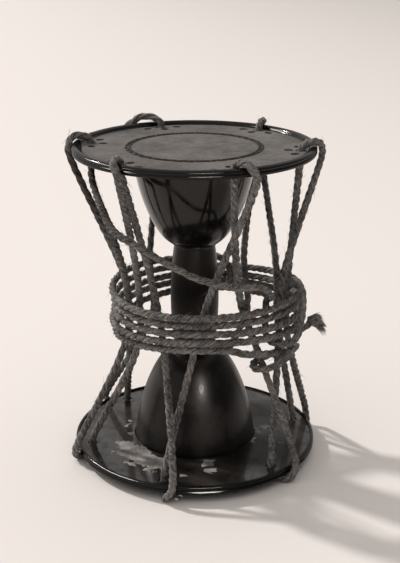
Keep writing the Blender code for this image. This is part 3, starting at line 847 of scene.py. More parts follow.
def body_profile():
    half = BODY_LENGTH / 2
    top = half - CUP_LENGTH
    lip = arc((CUP_RADIUS - LIP_ROUND, half - LIP_ROUND), LIP_ROUND, LIP_ROUND, 90, 0, 5)
    wall = cup_outline(CUP_LENGTH, CUP_RADIUS, NECK_END_RADIUS, 30, 4 * LIP_ROUND)
    ring_half = NECK_RING_WIDTH / 2
    ring = arc((NECK_END_RADIUS, top - ring_half), NECK_RING_HEIGHT, ring_half, 90, -90, 7)
    low = top - NECK_RING_WIDTH
    shares = [i / SWELL_STEPS for i in range(SWELL_STEPS - 1, 0, -1)]
    swell = [(NECK_END_RADIUS + NECK_SWELL * (1.0 - share**2), low * share) for share in shares]
    outer = lip + [(radius, half - depth) for radius, depth in wall[:-1]] + ring + swell
    bowl = cup_outline(BOWL_DEPTH, CUP_RADIUS - LIP_WIDTH, BORE_RADIUS, 14, LIP_ROUND)
    inner = [(CUP_RADIUS - LIP_WIDTH - LIP_ROUND, half)]
    inner += [(radius, half - depth) for radius, depth in bowl]
    middle = [(NECK_END_RADIUS + NECK_SWELL, 0.0)]
    outside = outer + middle + [(radius, -height) for radius, height in reversed(outer)]
    inside = [(radius, -height) for radius, height in inner] + list(reversed(inner))
    raised = (BODY_BOTTOM + BODY_TOP) / 2
    whole = outside + inside + outside[:1]
    return [(radius, height + raised) for radius, height in whole]


def stand_for(piece, node):
    """Hides the solid that a piece replaces. All ride the root, the one body."""
    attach(piece, "root")
    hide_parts(node)


turned_body = turn_piece("turned_body", body_profile())
stand_for(turned_body, "wooden_body")

# %% [markdown]
# Each head is a hide folded over an iron hoop. Its edge shows two ridges with a groove between them, one
# where the hide runs over the hoop and one where it turns in below. The section is drawn with the playing
# side up and is turned over for the lower head.

# %% Section of a playing hide
RIM_WALL = 0.0010
RIM_GROOVE = 0.0007
BEAD_HEIGHT = 0.0022
LIP_TURN_IN = 0.0026
FOLD_FILLET = 0.0015


def hide_profile(radius, middle, facing):
    centre = radius - RIM_WIDTH / 2
    bead = RIM_HALF - BEAD_HEIGHT
    inner_wall = radius - RIM_WIDTH
    face = [(radius * share, SKIN_FACE) for share in (0.0, 0.2, 0.4, 0.5, 0.6, 0.7, 0.8)]
    fold = arc((inner_wall - FOLD_FILLET, SKIN_FACE + FOLD_FILLET), FOLD_FILLET, FOLD_FILLET, -90, -30, 6)
    crown = arc((centre, bead), RIM_WIDTH / 2, BEAD_HEIGHT, 165, 0, 16)
    groove = [(radius - 0.6 * RIM_GROOVE, 0.45 * bead), (radius - RIM_GROOVE, 0.0)]
    groove.append((radius - 0.6 * RIM_GROOVE, -0.45 * bead))
    foot = arc((radius - LIP_TURN_IN / 2, -bead), LIP_TURN_IN / 2, BEAD_HEIGHT, 0, -90, 9)
    lip = [(radius - LIP_TURN_IN, -RIM_HALF), (radius - LIP_TURN_IN, -RIM_HALF + RIM_WALL)]
    back = [(radius - RIM_WALL, -bead), (radius - RIM_GROOVE - RIM_WALL, 0.0)]
    hollow = arc((centre, bead), RIM_WIDTH / 2 - RIM_WALL, BEAD_HEIGHT - RIM_WALL, 0, 180, 8)
    under = [(inner_wall + RIM_WALL, SKIN_FACE), (inner_wall, SKIN_BACK)]
    under += [(radius * 0.6, SKIN_BACK), (0.0, SKIN_BACK)]
    whole = face + fold + crown + groove + foot + lip + back + hollow + under
    return [(across, middle + facing * height) for across, height in whole]


HEADS = {
    "upper": (UPPER_HEAD_RADIUS, UPPER_MIDDLE, 1, UPPER_FIRST_ANGLE),
    "lower": (LOWER_HEAD_RADIUS, LOWER_MIDDLE, -1, LOWER_FIRST_ANGLE),
}
print("points in the section:", len(hide_profile(*HEADS["upper"][:3])))

# %% [markdown]
# A spun section can't have holes in it, so the six lacing holes are cut afterwards. An upright pin is made
# for each hole, the pins are joined to one piece, and a Boolean takes that piece out of the hide.

# %% Playing hides
HOLE_SIDES = 40


def joined(pieces, into):
    """Joins pieces to one of them."""
    bpy.ops.object.select_all(action="DESELECT")
    for piece in pieces:
        piece.select_set(True)
    bpy.context.view_layer.objects.active = into
    bpy.ops.object.join()
    return bpy.context.object


def cut_holes(piece, radius, middle, first_angle):
    """Cuts the six lacing holes with upright pins, then takes the pins away."""
    bpy.ops.object.select_all(action="DESELECT")
    pins = []
    for k in range(LACES):
        place = polar(radius - HOLE_INSET, first_angle + STEP_ANGLE * k + HOLE_SKEW, middle)
        size = {"radius": HOLE_RADIUS, "depth": 2 * RIM_HEIGHT}
        bpy.ops.mesh.primitive_cylinder_add(vertices=HOLE_SIDES, location=place, **size)
        pins.append(bpy.context.object)
    pin = joined(pins, pins[-1])
    bpy.ops.object.select_all(action="DESELECT")
    piece.select_set(True)
    bpy.context.view_layer.objects.active = piece
    holes = piece.modifiers.new("Lacing holes", "BOOLEAN")
    holes.operation = "DIFFERENCE"
    holes.object = pin
    bpy.ops.object.modifier_apply(modifier=holes.name)
    bpy.data.objects.remove(pin, do_unlink=True)
    bpy.ops.object.shade_smooth_by_angle(angle=SMOOTH_ANGLE)
    print(f"{piece.name}: {len(piece.data.polygons)} faces with its holes")


def turn_hide(side, kind, profile):
    radius, middle, facing, first_angle = HEADS[side]
    hide = turn_piece(f"{side}_{kind}", profile(radius, middle, facing))
    cut_holes(hide, radius, middle, first_angle)
    return hide


playing_hides = {side: turn_hide(side, "playing_hide", hide_profile) for side in HEADS}
for side, hide in playing_hides.items():
    stand_for(hide, f"{side}_front_skin")

# %% [markdown]
# Behind each playing hide lies a second, lacquered hide with a round opening for the cup. It is a flat
# ring, so it is turned and cut in the same way, with the edge of its opening slightly rounded.

# %% Backing hides
BACKING_THICKNESS = 0.0009
EDGE_ROUND = 0.0003


def backing_profile(radius, middle, facing):
    inner = CUP_RADIUS + 2 * CLEARANCE
    outer = radius - LIP_TURN_IN - CLEARANCE
    front = SKIN_BACK - CLEARANCE
    back = front - BACKING_THICKNESS
    flat = [(inner, front), (outer, front), (outer, back), (0.5 * (inner + outer), back)]
    edge = [(inner + EDGE_ROUND, back), (inner, back + EDGE_ROUND), (inner, front)]
    return [(across, middle + facing * height) for across, height in flat + edge]


backing_hides = {side: turn_hide(side, "backing_hide", backing_profile) for side in HEADS}
for side, hide in backing_hides.items():
    stand_for(hide, f"{side}_back_skin")

# %% [markdown]
# The playing hide is sewn down in a circle over the lip of the cup. Two rows of long stitches run round,
# with short ones across between them. A stitch is modelled from a cube, pressed flat and with its edges
# rounded. One of each kind is enough.

# %% One stitch of each kind
SEAM_RADIUS = 0.0543
SEAM_HALF = 0.0016
SEAM_GROUPS = 40
SEAM_STEP = 360.0 / SEAM_GROUPS
THREAD_WIDTH = 0.0017
THREAD_HEIGHT = 0.0006


def one_stitch(name, length, width):
    """A cube pressed to the stitch's size, with its edges rounded."""
    bpy.ops.object.select_all(action="DESELECT")
    bpy.ops.mesh.primitive_cube_add(size=1.0)
    stitch = bpy.context.object
    stitch.name = stitch.data.name = name
    bpy.ops.object.mode_set(mode="EDIT")
    bpy.ops.transform.resize(value=(width, length, THREAD_HEIGHT))
    bpy.ops.mesh.bevel(offset=0.4 * THREAD_HEIGHT, segments=1)
    bpy.ops.object.mode_set(mode="OBJECT")
    return stitch


long_stitch = one_stitch("long_stitch", 0.96 * math.radians(SEAM_STEP) * SEAM_RADIUS, THREAD_WIDTH)
cross_stitch = one_stitch("cross_stitch", 0.5 * THREAD_WIDTH, 1.2 * SEAM_HALF)
print("faces of one stitch:", len(long_stitch.data.polygons))

# %% [markdown]
# The two stitches are copied round the circle, each copy a little out of its place, as hand sewing is. The
# copies are joined to one piece, and the two patterns are taken away.

# %% Seam stitches
STITCH_LEAN = 0.6
STITCH_SMOOTH_ANGLE = math.radians(60)


def copy_stitch(stitch, across, angle, height):
    copy = stitch.copy()
    copy.data = stitch.data.copy()
    copy.location = polar(across, angle, height)
    copy.rotation_euler.z = math.radians(angle)
    bpy.context.scene.collection.objects.link(copy)
    return copy


def seam_circle(name, middle, facing):
    height = middle + facing * (SKIN_FACE + 0.3 * THREAD_HEIGHT)
    copies = []
    for k in range(SEAM_GROUPS):
        lean = fibre_dice.uniform(-STITCH_LEAN, STITCH_LEAN)
        between = SEAM_STEP * (k + 0.5)
        copies.append(copy_stitch(long_stitch, SEAM_RADIUS - SEAM_HALF, SEAM_STEP * k + lean, height))
        copies.append(copy_stitch(long_stitch, SEAM_RADIUS + SEAM_HALF, between + lean, height))
        copies.append(copy_stitch(cross_stitch, SEAM_RADIUS, between - lean, height))
    seam = joined(copies, copies[0])
    seam.name = seam.data.name = name
    bpy.ops.object.transform_apply(location=True, rotation=True, scale=True)
    bpy.ops.object.shade_smooth_by_angle(angle=STITCH_SMOOTH_ANGLE)
    print(f"{name}: {len(copies)} stitches, {len(seam.data.polygons)} faces")
    return seam


seams = {}
for side, (_, middle, facing, _) in HEADS.items():
    seams[side] = seam_circle(f"{side}_seam_stitches", middle, facing)
    stand_for(seams[side], f"{side}_seam_thread")
for pattern in (long_stitch, cross_stitch):
    bpy.data.objects.remove(pattern, do_unlink=True)

# %% [markdown]
# Now the finishes. A material in Blender is a tree of nodes, and a long one is hard to read as a list of
# links. So a small class stands for one output of the tree: plus, minus and times on it add Math nodes, and
# its node method adds any other node. The finishes below then read like formulas.

# %% Shader maths as Python
class Flow:
    """One output in a material's nodes. Arithmetic on it adds Math nodes."""

    def __init__(self, tree, socket=None):
        self.tree = tree
        self.socket = socket

    def node(self, kind, settings=None, sockets=None, output=0):
        """Any node: its type, its settings, and the values or links of its sockets."""
        made = self.tree.nodes.new(kind)
        for name, value in (settings or {}).items():
            setattr(made, name, value)
        for key, value in (sockets or {}).items():
            if isinstance(value, Flow):
                self.tree.links.new(value.socket, made.inputs[key])
            else:
                made.inputs[key].default_value = value
        return Flow(self.tree, made.outputs[output])

    def math(self, operation, *values):
        return self.node("ShaderNodeMath", {"operation": operation}, dict(enumerate(values)))

    def taken(self, operation):
        """A function of this one value, such as its sine."""
        return self.math(operation, self)

    def __add__(self, other):
        return self.math("ADD", self, other)

    def __sub__(self, other):
        return self.math("SUBTRACT", self, other)

    def __rsub__(self, other):
        return self.math("SUBTRACT", other, self)

    def __mul__(self, other):
        return self.math("MULTIPLY", self, other)

    def __truediv__(self, other):
        return self.math("DIVIDE", self, other)

    def __pow__(self, other):
        return self.math("POWER", self, other)

    def __abs__(self):
        return self.taken("ABSOLUTE")

    __radd__ = __add__
    __rmul__ = __mul__

    def most(self, other):
        return self.math("MAXIMUM", self, other)

    def step(self, low, high):
        """0 below low, 1 above high and smooth between, or the other way round if high is the lower."""
        sockets = {"Value": self, "From Min": low, "From Max": high}
        return self.node("ShaderNodeMapRange", {"interpolation_type": "SMOOTHSTEP"}, sockets)

    def part(self, axis):
        return self.node("ShaderNodeSeparateXYZ", None, {0: self}, axis)

    def scaled(self, x, y, z):
        sockets = {0: self, 1: (x, y, z)}
        return self.node("ShaderNodeVectorMath", {"operation": "MULTIPLY"}, sockets)

    def noise(self, scale, detail=3.0, roughness=0.55, distortion=0.0):
        sockets = {"Vector": self, "Scale": scale, "Detail": detail, "Roughness": roughness}
        sockets["Distortion"] = distortion
        return self.node("ShaderNodeTexNoise", None, sockets)

    def mix(self, first, second):
        """A colour between two, with this as the share of the second."""
        return self.node("ShaderNodeMix", {"data_type": "RGBA"}, {0: self, 6: first, 7: second}, 2)

    def bump(self, strength, distance):
        sockets = {"Strength": strength, "Distance": distance, "Height": self}
        return self.node("ShaderNodeBump", None, sockets)


print("shader maths ready")

# %% [markdown]
# Every finish starts with one Principled shader and with the coordinates of the piece, and ends by linking
# its formulas to the shader's sockets. What varies is linked, and what is the same all over is set as a
# value.

# %% Helpers for all finishes
def new_finish(name):
    """A material, its Principled shader, and its Object coordinates and UV map as flows."""
    material = bpy.data.materials.new(name)
    material.use_nodes = True
    tree = material.node_tree
    shader = tree.nodes["Principled BSDF"]
    start = Flow(tree)
    place = start.node("ShaderNodeTexCoord", output="Object")
    strand = start.node("ShaderNodeTexCoord", output="UV")
    return material, shader, place, strand


def feed(shader, **values):
    """Links flows to the shader's sockets and sets plain values. Underscores stand for spaces."""
    for name, value in values.items():
        socket = shader.inputs[name.replace("_", " ")]
        if isinstance(value, Flow):
            value.tree.links.new(value.socket, socket)
        else:
            socket.default_value = value


def grey(value, warm=0.05):
    """A grey a little on the warm side."""
    return (value * (1.0 + 1.3 * warm), value, value * (1.0 - 0.9 * warm), 1.0)


def paint(material, *pieces):
    for piece in pieces:
        piece.data.materials.clear()
        piece.data.materials.append(material)


print("a warm grey:", grey(0.2))

# %% [markdown]
# The hemp is a dull grey-brown with no gloss. Each strand is spun from yarns, which show as fine slanting
# lines. They follow the rope's own UV map. The same map finds the grooves between the strands, which are
# painted darker as shade. Larger patches, lighter where the rope is rubbed, lie on Object coordinates, and
# so does a painted shadow on the strands under the upper rim at the left.

# %% Hemp
def hemp_finish():
    material, shader, place, strand = new_finish("grey_hemp")
    around, along = strand.part(0), strand.part(1)
    yarn = ((around * 5.0 + along * 0.55) * math.tau).taken("SINE") * 0.5 + 0.5
    fibre = strand.scaled(9.0, 1.6, 1.0).noise(1.0, 4.0, 0.65, 0.6)
    patch = place.noise(38.0, 3.0)
    blotch = place.noise(330.0, 4.0, 0.62, 0.5)
    fine = place.noise(1100.0, 2.0, 0.6)
    tone = fibre * 0.34 + blotch * 0.36 + patch * 0.24 + yarn * 0.06
    shade = tone.step(0.36, 0.64)
    colour = shade.mix(grey(0.034), grey(0.262))
    rubbed = (blotch * fine).step(0.27, 0.40)
    colour = (rubbed * 0.45).mix(colour, grey(0.37))
    # Painted shade: the grooves between the strands are darkened, where the strands shade each other.
    groove = (around * math.tau).taken("COSINE").step(-0.5, 0.7)
    colour = (groove * 0.6).mix(colour, grey(0.016))
    # Painted shadow: the strands at the left just under the upper rim are darkened.
    height = place.part(2)
    upper_part = height.step(WAIST_HEIGHT + 0.03, UPPER_MIDDLE - 0.04)
    under_rim = upper_part * height.step(UPPER_MIDDLE, UPPER_MIDDLE - 0.010)
    painted_rim_shadow = place.part(0).step(-0.045, -0.070) * under_rim
    colour = (painted_rim_shadow * 0.6).mix(colour, grey(0.020))
    feed(
        shader,
        Base_Color=colour,
        Roughness=0.98 - shade * 0.14,
        Normal=(yarn * 0.25 + fibre * 0.6 + blotch * 0.6 + fine * 0.25).bump(0.9, 0.0008),
        Specular_IOR_Level=0.25,
    )
    return material


def fibre_finish(name, dark, light):
    material, shader, place, _ = new_finish(name)
    tone = place.noise(420.0, 3.0)
    colour = tone.step(0.35, 0.65).mix(grey(dark), grey(light))
    feed(shader, Base_Color=colour, Roughness=0.95 - tone * 0.1, Specular_IOR_Level=0.2)
    return material


paint(hemp_finish(), lacing_rope, waist_rope)
paint(fibre_finish("stray_hemp", 0.09, 0.28), lacing_fibres, waist_fibres)
# The tuft gets a lighter copy of the fibre finish: painted light, which makes up for the shade that its
# thick fibres cast on one another.
paint(fibre_finish("frayed_hemp_painted_lighter", 0.14, 0.40), frayed_end)
print("hemp done")

# %% [markdown]
# Black lacquer is a thin glossy film on wood. Its colour hardly varies, so it is the gloss that has to. A
# clear coat lets the upper cup mirror the ropes, while the lower cup has been handled to a satin and the
# neck is dull. Cloudy patches, fine scratches round the body and paler worn edges on the turned rings do
# the rest. Noise squeezed along one axis gives the scratches.

# %% Lacquered wood
LACQUER_GLOSS = 0.25
WARM_SHEEN = (1.0, 0.90, 0.86, 1.0)


def wood_finish():
    material, shader, place, _ = new_finish("lacquered_wood")
    height = place.part(2)
    cloud = place.noise(28.0, 5.0, 0.62, 0.4)
    dull = cloud.step(0.42, 0.70)
    satin = height.step(UPPER_MIDDLE - CUP_LENGTH, BODY_BOTTOM + CUP_LENGTH) * 0.75
    scratch = place.scaled(1.0, 1.0, 9.0).noise(160.0, 3.0, 0.7).step(0.60, 0.72)
    speck = place.noise(1100.0, 1.0).step(0.70, 0.80)
    middle = (BODY_BOTTOM + BODY_TOP) / 2
    ring = BODY_LENGTH / 2 - CUP_LENGTH - NECK_RING_WIDTH / 2
    from_middle = abs(height - middle)
    from_ring = abs(from_middle - ring)
    neck = from_middle.step(ring + 0.004, ring - 0.004)
    worn = from_ring.step(0.0011, 0.0004) * place.noise(90.0, 3.0).step(0.40, 0.62)
    colour = (dull * 0.7 * (1.0 - neck)).mix(grey(0.0030), grey(0.0200))
    colour = (worn * 0.8).mix(colour, grey(0.09))
    colour = (speck * 0.25).mix(colour, grey(0.10))
    feed(
        shader,
        Base_Color=colour,
        Roughness=0.13 + satin * 0.25 + neck * 0.14 + dull * 0.14 + scratch * 0.10 + worn * 0.2,
        Coat_Weight=(1.0 - satin) * (1.0 - neck) * (0.24 - dull * 0.10 - worn * 0.14),
        Normal=(cloud * 0.7 + scratch * 0.06).bump(0.12, 0.0012),
        Coat_Roughness=0.06,
        Specular_Tint=WARM_SHEEN,
        Specular_IOR_Level=LACQUER_GLOSS,
    )
    return material


paint(wood_finish(), turned_body)
print("lacquered wood done")

# %% [markdown]
# Round each lacing hole the lacquer painter left three dark petals on the hide. They could be cut out and
# laid on as pieces, but paint has no thickness, so they are part of the finish. As the holes are a sixth of
# a turn apart, the angle round the axis is folded to one sixth, and the petals are drawn once, as ovals
# beside one hole.

# %% Petals beside the holes
FRONT_PETAL_INSET = 0.0098
FRONT_PETAL_HALVES = (0.0040, 0.0032)
SIDE_PETAL_INSET = 0.0035
SIDE_PETAL_REACH = 0.0135
SIDE_PETAL_HALVES = (0.0041, 0.0030)
PETAL_SLANT = math.radians(60)
PETAL_EDGE = (1.15, 0.85)


def from_axis(place):
    """How far a place is from the upright axis, and its angle round that axis."""
    flat = place.scaled(1.0, 1.0, 0.0)
    across = flat.node("ShaderNodeVectorMath", {"operation": "LENGTH"}, {0: flat}, "Value")
    return across, place.math("ARCTAN2", place.part(1), place.part(0))


def oval(first, second, first_half, second_half):
    """1 on the edge of an oval, less inside it and more outside."""
    return (first / first_half) ** 2.0 + (second / second_half) ** 2.0


def petal_marks(across, angle, ragged, radius, first_angle):
    """1 on the petals of a head with this radius, and 0 beside them."""
    sixth = (angle - math.radians(first_angle + HOLE_SKEW)) / math.radians(STEP_ANGLE)
    local = (sixth - (sixth + 0.5).taken("FLOOR")) * math.radians(STEP_ANGLE)
    inward = (radius - HOLE_INSET) - across * local.taken("COSINE")
    beside = abs(across * local.taken("SINE"))
    front = oval(inward - FRONT_PETAL_INSET, beside, *FRONT_PETAL_HALVES)
    inset, reach = inward - SIDE_PETAL_INSET, beside - SIDE_PETAL_REACH
    slant = inset * math.cos(PETAL_SLANT) + reach * math.sin(PETAL_SLANT)
    over = inset * math.sin(PETAL_SLANT) - reach * math.cos(PETAL_SLANT)
    side = oval(slant, over, *SIDE_PETAL_HALVES)
    return (front + ragged).step(*PETAL_EDGE).most((side + ragged).step(*PETAL_EDGE))


print("petals on each head:", 3 * LACES)

# %% [markdown]
# The playing hide is matte and grey, a little mottled, and its rim is lacquered black like the body. One
# material does both: the distance from the axis tells the rim, which has a clear coat, from the face, and
# it also marks the ring of dark wax along the seam.

# %% Hide with lacquered rim
def hide_finish(name, radius, first_angle):
    material, shader, place, _ = new_finish(name)
    across, angle = from_axis(place)
    ragged = (place.noise(700.0, 2.0) - 0.5) * 0.35
    petal = petal_marks(across, angle, ragged, radius, first_angle) * (0.92 + ragged)
    rim = across.step(radius - RIM_WIDTH - 0.0022, radius - RIM_WIDTH - 0.0010)
    cloud = place.noise(26.0, 5.0, 0.6)
    mottle = place.noise(140.0, 4.0, 0.62)
    pore = place.noise(1500.0, 2.0, 0.6)
    grain = place.scaled(1.0, 5.0, 0.0).noise(110.0, 3.0, 0.6)
    tone = cloud * 0.5 + mottle * 0.3 + grain * 0.2
    skin = tone.step(0.34, 0.66).mix(grey(0.094), grey(0.176))
    skin = (pore.step(0.60, 0.72) * 0.4).mix(skin, grey(0.060))
    dirt = across.step(radius - RIM_WIDTH - 0.012, radius - RIM_WIDTH) * mottle.step(0.35, 0.65)
    skin = (dirt * 0.4).mix(skin, grey(0.055))
    skin = petal.mix(skin, grey(0.014))
    waxed = abs(across - SEAM_RADIUS).step(SEAM_HALF + 0.0006, SEAM_HALF - 0.0008)
    skin = (waxed * mottle.step(0.36, 0.56) * 0.8).mix(skin, grey(0.024))
    chip = (rim * mottle.step(0.62, 0.70)) * 0.5
    lacquer = chip.mix(grey(0.0040), grey(0.060))
    dull = cloud.step(0.45, 0.7)
    feed(
        shader,
        Base_Color=rim.mix(skin, lacquer),
        Roughness=(1.0 - rim) * (0.62 + mottle * 0.14) + rim * (0.16 + dull * 0.10 + chip * 0.5),
        Coat_Weight=rim * (0.50 - dull * 0.15 - chip),
        Normal=((1.0 - rim) * (mottle * 0.6 + pore * 0.35 + grain * 0.3)).bump(0.22, 0.0007),
        Coat_Roughness=0.12,
        Specular_IOR_Level=0.0,
    )
    return material


for side, (radius, _, _, first_angle) in HEADS.items():
    paint(hide_finish(f"{side}_hide", radius, first_angle), playing_hides[side])
print("playing hides done")

# %% [markdown]
# The backing hides are lacquered black, and the lower one, which faces up, has shed a large flake of
# lacquer beside the cup at the left front, with smaller chips round it. Two thin pale lines beside the cup
# at the left are painted light, drawn in the same way. Each mark is an oval with a place round the cup and
# a distance from the axis. Lacquer breaks away in little plates, so the oval is tested at the middle of an
# irregular cell, and a whole cell goes or stays.

# %% Flakes in the lacquer and painted light lines
# Each mark: the angle and the distance from the axis of its middle, and half its size round and across
FLAKES_AND_PAINTED_LIGHT = (
    (222.0, 0.0640, 0.0285, 0.0110),
    (214.0, 0.0700, 0.0100, 0.0075),
    (243.0, 0.0680, 0.0110, 0.0070),
    (226.5, 0.0795, 0.0070, 0.0018),
    (245.0, 0.0793, 0.0072, 0.0016),
    (282.0, 0.0598, 0.0054, 0.0048),
    (281.0, 0.0728, 0.0040, 0.0044),
    (263.7, 0.0805, 0.0018, 0.0020),
    (1.0, 0.0545, 0.0056, 0.0026),
    (341.0, 0.0540, 0.0068, 0.0018),
    (8.0, 0.0632, 0.0058, 0.0038),
    # Painted light in the colour of exposed hide: a thin lit gap along the cup's base at the left, and a
    # painted highlight on a crease beside it.
    (190.0, 0.0545, 0.0060, 0.0012),
    (165.0, 0.0590, 0.0062, 0.0012),
    (120.0, 0.0720, 0.0120, 0.0060),
    (66.0, 0.0660, 0.0080, 0.0045),
)
HIDDEN_FLAKES_AND_PAINTED_LIGHT = FLAKES_AND_PAINTED_LIGHT[5:]
CELL_SCALE = 260.0
CELL_BEND = 0.002


def chip_cells(place):
    """The middle of the irregular cell that each place lies in."""
    sockets = {"Vector": place, "Scale": 300.0, "Detail": 2.0}
    bent = place.node("ShaderNodeTexNoise", None, sockets, "Color")
    sockets = {0: bent, 1: (CELL_BEND,) * 3, 2: place}
    bent = place.node("ShaderNodeVectorMath", {"operation": "MULTIPLY_ADD"}, sockets)
    return place.node("ShaderNodeTexVoronoi", None, {"Vector": bent, "Scale": CELL_SCALE}, "Position")


def flake_and_painted_light_marks(place, flakes):
    """1 where the lacquer is gone and on the two painted light lines, and 0 where the lacquer is left."""
    across, angle = from_axis(chip_cells(place))
    ragged = (place.noise(110.0, 2.0, 0.5) - 0.5) * 1.2
    lacquer_lost_and_painted_light = 0.0
    for bearing, distance, round_half, across_half in flakes:
        turn = math.radians(bearing if bearing <= 180.0 else bearing - 360.0)
        edge = oval((angle - turn) * distance, across - distance, round_half, across_half)
        lacquer_lost_and_painted_light = (edge + ragged).step(1.12, 0.98).most(lacquer_lost_and_painted_light)
    return lacquer_lost_and_painted_light


print("flakes:", len(FLAKES_AND_PAINTED_LIGHT), "below and", len(HIDDEN_FLAKES_AND_PAINTED_LIGHT), "above")

# %% [markdown]
# Where the film is left, its gloss comes in patches, the skin below it is slightly wavy and a few hair
# cracks cross it. Two patches at the right are duller than the rest and painted darker, as painted shade
# beside the cup. They are round, with an edge that a noise makes uneven.

# %% Lacquered hide with wear and painted shade
# Each patch of painted shade: the x and the y of its middle, and how far it reaches
PAINTED_SHADE_PATCHES = ((0.048, -0.036, 0.046), (0.058, 0.032, 0.040))


def painted_shade_marks(place, mottle):
    dark = 0.0
    for side, depth, reach in PAINTED_SHADE_PATCHES:
        away = ((place.part(0) - side) ** 2.0 + (place.part(1) - depth) ** 2.0) ** 0.5
        dark = (away + (mottle - 0.5) * 0.02).step(reach, 0.4 * reach).most(dark)
    return dark


def backing_finish(name, flakes):
    material, shader, place, _ = new_finish(name)
    lacquer_lost_and_painted_light = flake_and_painted_light_marks(place, flakes)
    wave = place.noise(30.0, 1.0)
    cloud = place.noise(20.0, 4.0, 0.6)
    mottle = place.noise(120.0, 4.0, 0.6)
    dust = place.noise(420.0, 3.0, 0.7)
    hair = place.noise(16.0, 2.0, 0.5, 1.2)
    crack = abs(hair - 0.5).step(0.0045, 0.0012) * cloud.step(0.46, 0.60)
    layer = place.noise(75.0, 3.0, 0.5)
    bare_hide_and_painted_light = (layer * 0.7 + dust * 0.3).step(0.38, 0.64).mix(grey(0.120), grey(0.330))
    film = (cloud.step(0.36, 0.66) * 0.7 + mottle * 0.2).mix(grey(0.0030, 0.14), grey(0.034, 0.14))
    film = (dust.step(0.58, 0.74) * 0.3).mix(film, grey(0.055))
    dark = painted_shade_marks(place, mottle)
    # Painted shade: the film is darkened in the two patches beside the cup.
    film = (dark * 0.8).mix(film, grey(0.0025))
    gloss = 0.72 - (cloud * 0.5 + mottle * 0.5).step(0.40, 0.62) * 0.55
    film = (crack * 0.7).mix(film, grey(0.10))
    feed(
        shader,
        Base_Color=lacquer_lost_and_painted_light.mix(film, bare_hide_and_painted_light),
        Roughness=0.30 + cloud.step(0.40, 0.70) * 0.16 + lacquer_lost_and_painted_light * (0.26 + mottle * 0.12) + crack * 0.2,
        Coat_Weight=(1.0 - lacquer_lost_and_painted_light) * (1.0 - dark * 0.85) * gloss,
        Normal=(wave * 9.0 + mottle * 0.25 - lacquer_lost_and_painted_light * 0.5 - crack * 0.3).bump(0.4, 0.0006),
        Coat_Roughness=0.09,
        Specular_Tint=WARM_SHEEN,
        Specular_IOR_Level=0.08,
    )
    return material


paint(backing_finish("lower_lacquered_hide", FLAKES_AND_PAINTED_LIGHT), backing_hides["lower"])
paint(backing_finish("upper_lacquered_hide", HIDDEN_FLAKES_AND_PAINTED_LIGHT), backing_hides["upper"])
print("backing hides done")

# %% [markdown]
# The stitches are waxed dark thread. The iron hoops are shut inside the folded hides and hardly show, so
# the solids stay as they are and get an iron finish with rust.

# %% Thread and iron
def thread_finish():
    material, shader, place, _ = new_finish("waxed_thread")
    twist = place.noise(1300.0, 3.0, 0.6)
    wear = place.noise(90.0, 3.0)
    colour = (twist * 0.5 + wear * 0.5).step(0.38, 0.66).mix(grey(0.008), grey(0.034))
    feed(
        shader,
        Base_Color=colour,
        Roughness=0.55 + wear * 0.25,
        Normal=twist.bump(0.5, 0.0003),
        Specular_IOR_Level=0.15,
    )
    return material


RUST_COLOUR = (0.065, 0.040, 0.028, 1.0)


def iron_finish():
    material, shader, place, _ = new_finish("dark_iron")
    rust = place.noise(160.0, 4.0, 0.65).step(0.45, 0.65)
    pit = place.noise(700.0, 2.0)
    feed(
        shader,
        Base_Color=rust.mix(grey(0.055), RUST_COLOUR),
        Roughness=0.45 + rust * 0.35,
        Metallic=0.9 - rust * 0.7,
        Normal=(pit * 0.5 + rust * 0.5).bump(0.4, 0.0004),
    )
    return material


paint(thread_finish(), *seams.values())
paint(iron_finish(), *[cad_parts[f"{side}_iron_hoop"] for side in HEADS])
print("thread and iron done")

# %% [markdown]
# The drum stands on a pale floor that fills the picture, and its colour is painted darker far to the right
# as shade where the light falls off. A large plane is enough, because the camera looks down and never meets
# its edge. The key light is a sun lamp behind on the left: its rays are parallel, so it lights the far
# floor as brightly as the near floor, and its small angle keeps the shadows of the ropes readable. The
# picture keeps deep blacks beside a near white floor, so the plain Standard view is used for the colours.

# %% Floor and key light
LIGHT_TINT = (1.0, 0.965, 0.933)
KEY_DIRECTION = Vector((-0.655, 0.476, 0.588))
KEY_STRENGTH = 2.5
KEY_ANGLE = math.radians(4.0)
FLOOR_SIZE = 30.0
FLOOR_DROP = 0.0002
PALE_PAPER = (0.799, 0.753, 0.725, 1.0)
SHADED_PAPER = (0.495, 0.467, 0.449, 1.0)

bpy.ops.object.select_all(action="DESELECT")
bpy.ops.mesh.primitive_plane_add(size=FLOOR_SIZE, location=(0.0, 0.0, -FLOOR_DROP))
floor = bpy.context.object
floor.name = floor.data.name = "pale_floor"
floor_paper, floor_shader, floor_place, _ = new_finish("pale_paper")
# Painted shade: the floor's colour darkens towards the far right, where the light falls off.
far_right_painted_shade = (floor_place.part(0) * 0.46 + floor_place.part(1) * 0.14).step(-0.2, 1.4)
paper_colour = far_right_painted_shade.mix(PALE_PAPER, SHADED_PAPER)
feed(floor_shader, Base_Color=paper_colour, Roughness=0.9, Specular_IOR_Level=0.1)
paint(floor_paper, floor)

key = bpy.data.lights.new("key_lamp", "SUN")
key.energy = KEY_STRENGTH
key.angle = KEY_ANGLE
key.color = LIGHT_TINT
key_lamp = bpy.data.objects.new("key_lamp", key)
key_lamp.rotation_euler = (-KEY_DIRECTION).to_track_quat("-Z", "Y").to_euler()
bpy.context.scene.collection.objects.link(key_lamp)
bpy.context.scene.view_settings.view_transform = "Standard"
print("key light from", tuple(KEY_DIRECTION))

# %% [markdown]
# The rest of the light is soft. The studio is bright above and behind and dark on the camera's side, which
# is what keeps the front of the black body black. A world whose brightness follows the direction does that
# with no lamps at all.

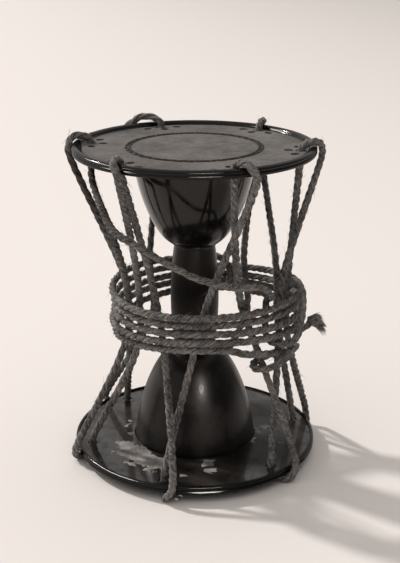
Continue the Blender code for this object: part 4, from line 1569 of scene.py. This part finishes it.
# %% Soft light
BRIGHT_DIRECTION = (-0.38, 0.42, 0.82)
DARK_AIR = (0.11, 0.1065, 0.103, 1.0)
BRIGHT_AIR = (0.98, 0.95, 0.92, 1.0)
AIR_STRENGTH = 0.88

world = bpy.data.worlds.new("studio_air")
world.use_nodes = True
air = world.node_tree.nodes["Background"]
sky = Flow(world.node_tree)
look = sky.node("ShaderNodeTexCoord", output="Generated")
sockets = {0: look, 1: BRIGHT_DIRECTION}
bright_side = sky.node("ShaderNodeVectorMath", {"operation": "DOT_PRODUCT"}, sockets, "Value")
feed(air, Color=bright_side.step(-0.35, 0.75).mix(DARK_AIR, BRIGHT_AIR), Strength=AIR_STRENGTH)
bpy.context.scene.world = world
print("air brightest towards", BRIGHT_DIRECTION)

# %% [markdown]
# Soft air can't give the narrow highlights on the lacquer, so a few lamps are added that show only as
# reflections. Each is linked to the pieces it belongs to: one to the body and the others to the rims.

# %% Lamps for the highlights
def gloss_lamp(name, place, aim, size, power, pieces):
    """A soft lamp that shows only as a highlight on some glossy pieces and lights nothing else."""
    light = bpy.data.lights.new(name, "AREA")
    light.shape = "ELLIPSE"
    light.size, light.size_y = size
    light.energy = power
    light.color = LIGHT_TINT
    lamp = bpy.data.objects.new(name, light)
    lamp.location = place
    lamp.rotation_euler = (Vector(aim) - lamp.location).to_track_quat("-Z", "Y").to_euler()
    lamp.visible_diffuse = False
    lamp.light_linking.receiver_collection = bpy.data.collections.new(name)
    for piece in pieces:
        lamp.light_linking.receiver_collection.objects.link(piece)
    bpy.context.scene.collection.objects.link(lamp)


rims = list(playing_hides.values())
gloss_lamp("cup_lamp", (0.42, -1.35, 0.72), (0.0, 0.0, 0.08), (0.32, 0.22), 12.0, [turned_body])
gloss_lamp("rim_lamp", (0.24, -1.35, 0.72), (0.0, 0.0, 0.08), (0.70, 0.10), 11.0, rims)
gloss_lamp("window_lamp", (-1.25, 0.05, 0.95), (0.0, 0.0, 0.10), (1.8, 0.30), 34.0, rims[:1])
gloss_lamp("low_window_lamp", (-1.25, -0.05, 0.95), (0.0, 0.0, 0.0), (1.6, 0.40), 90.0, rims[1:])
print("lamps for the highlights set")
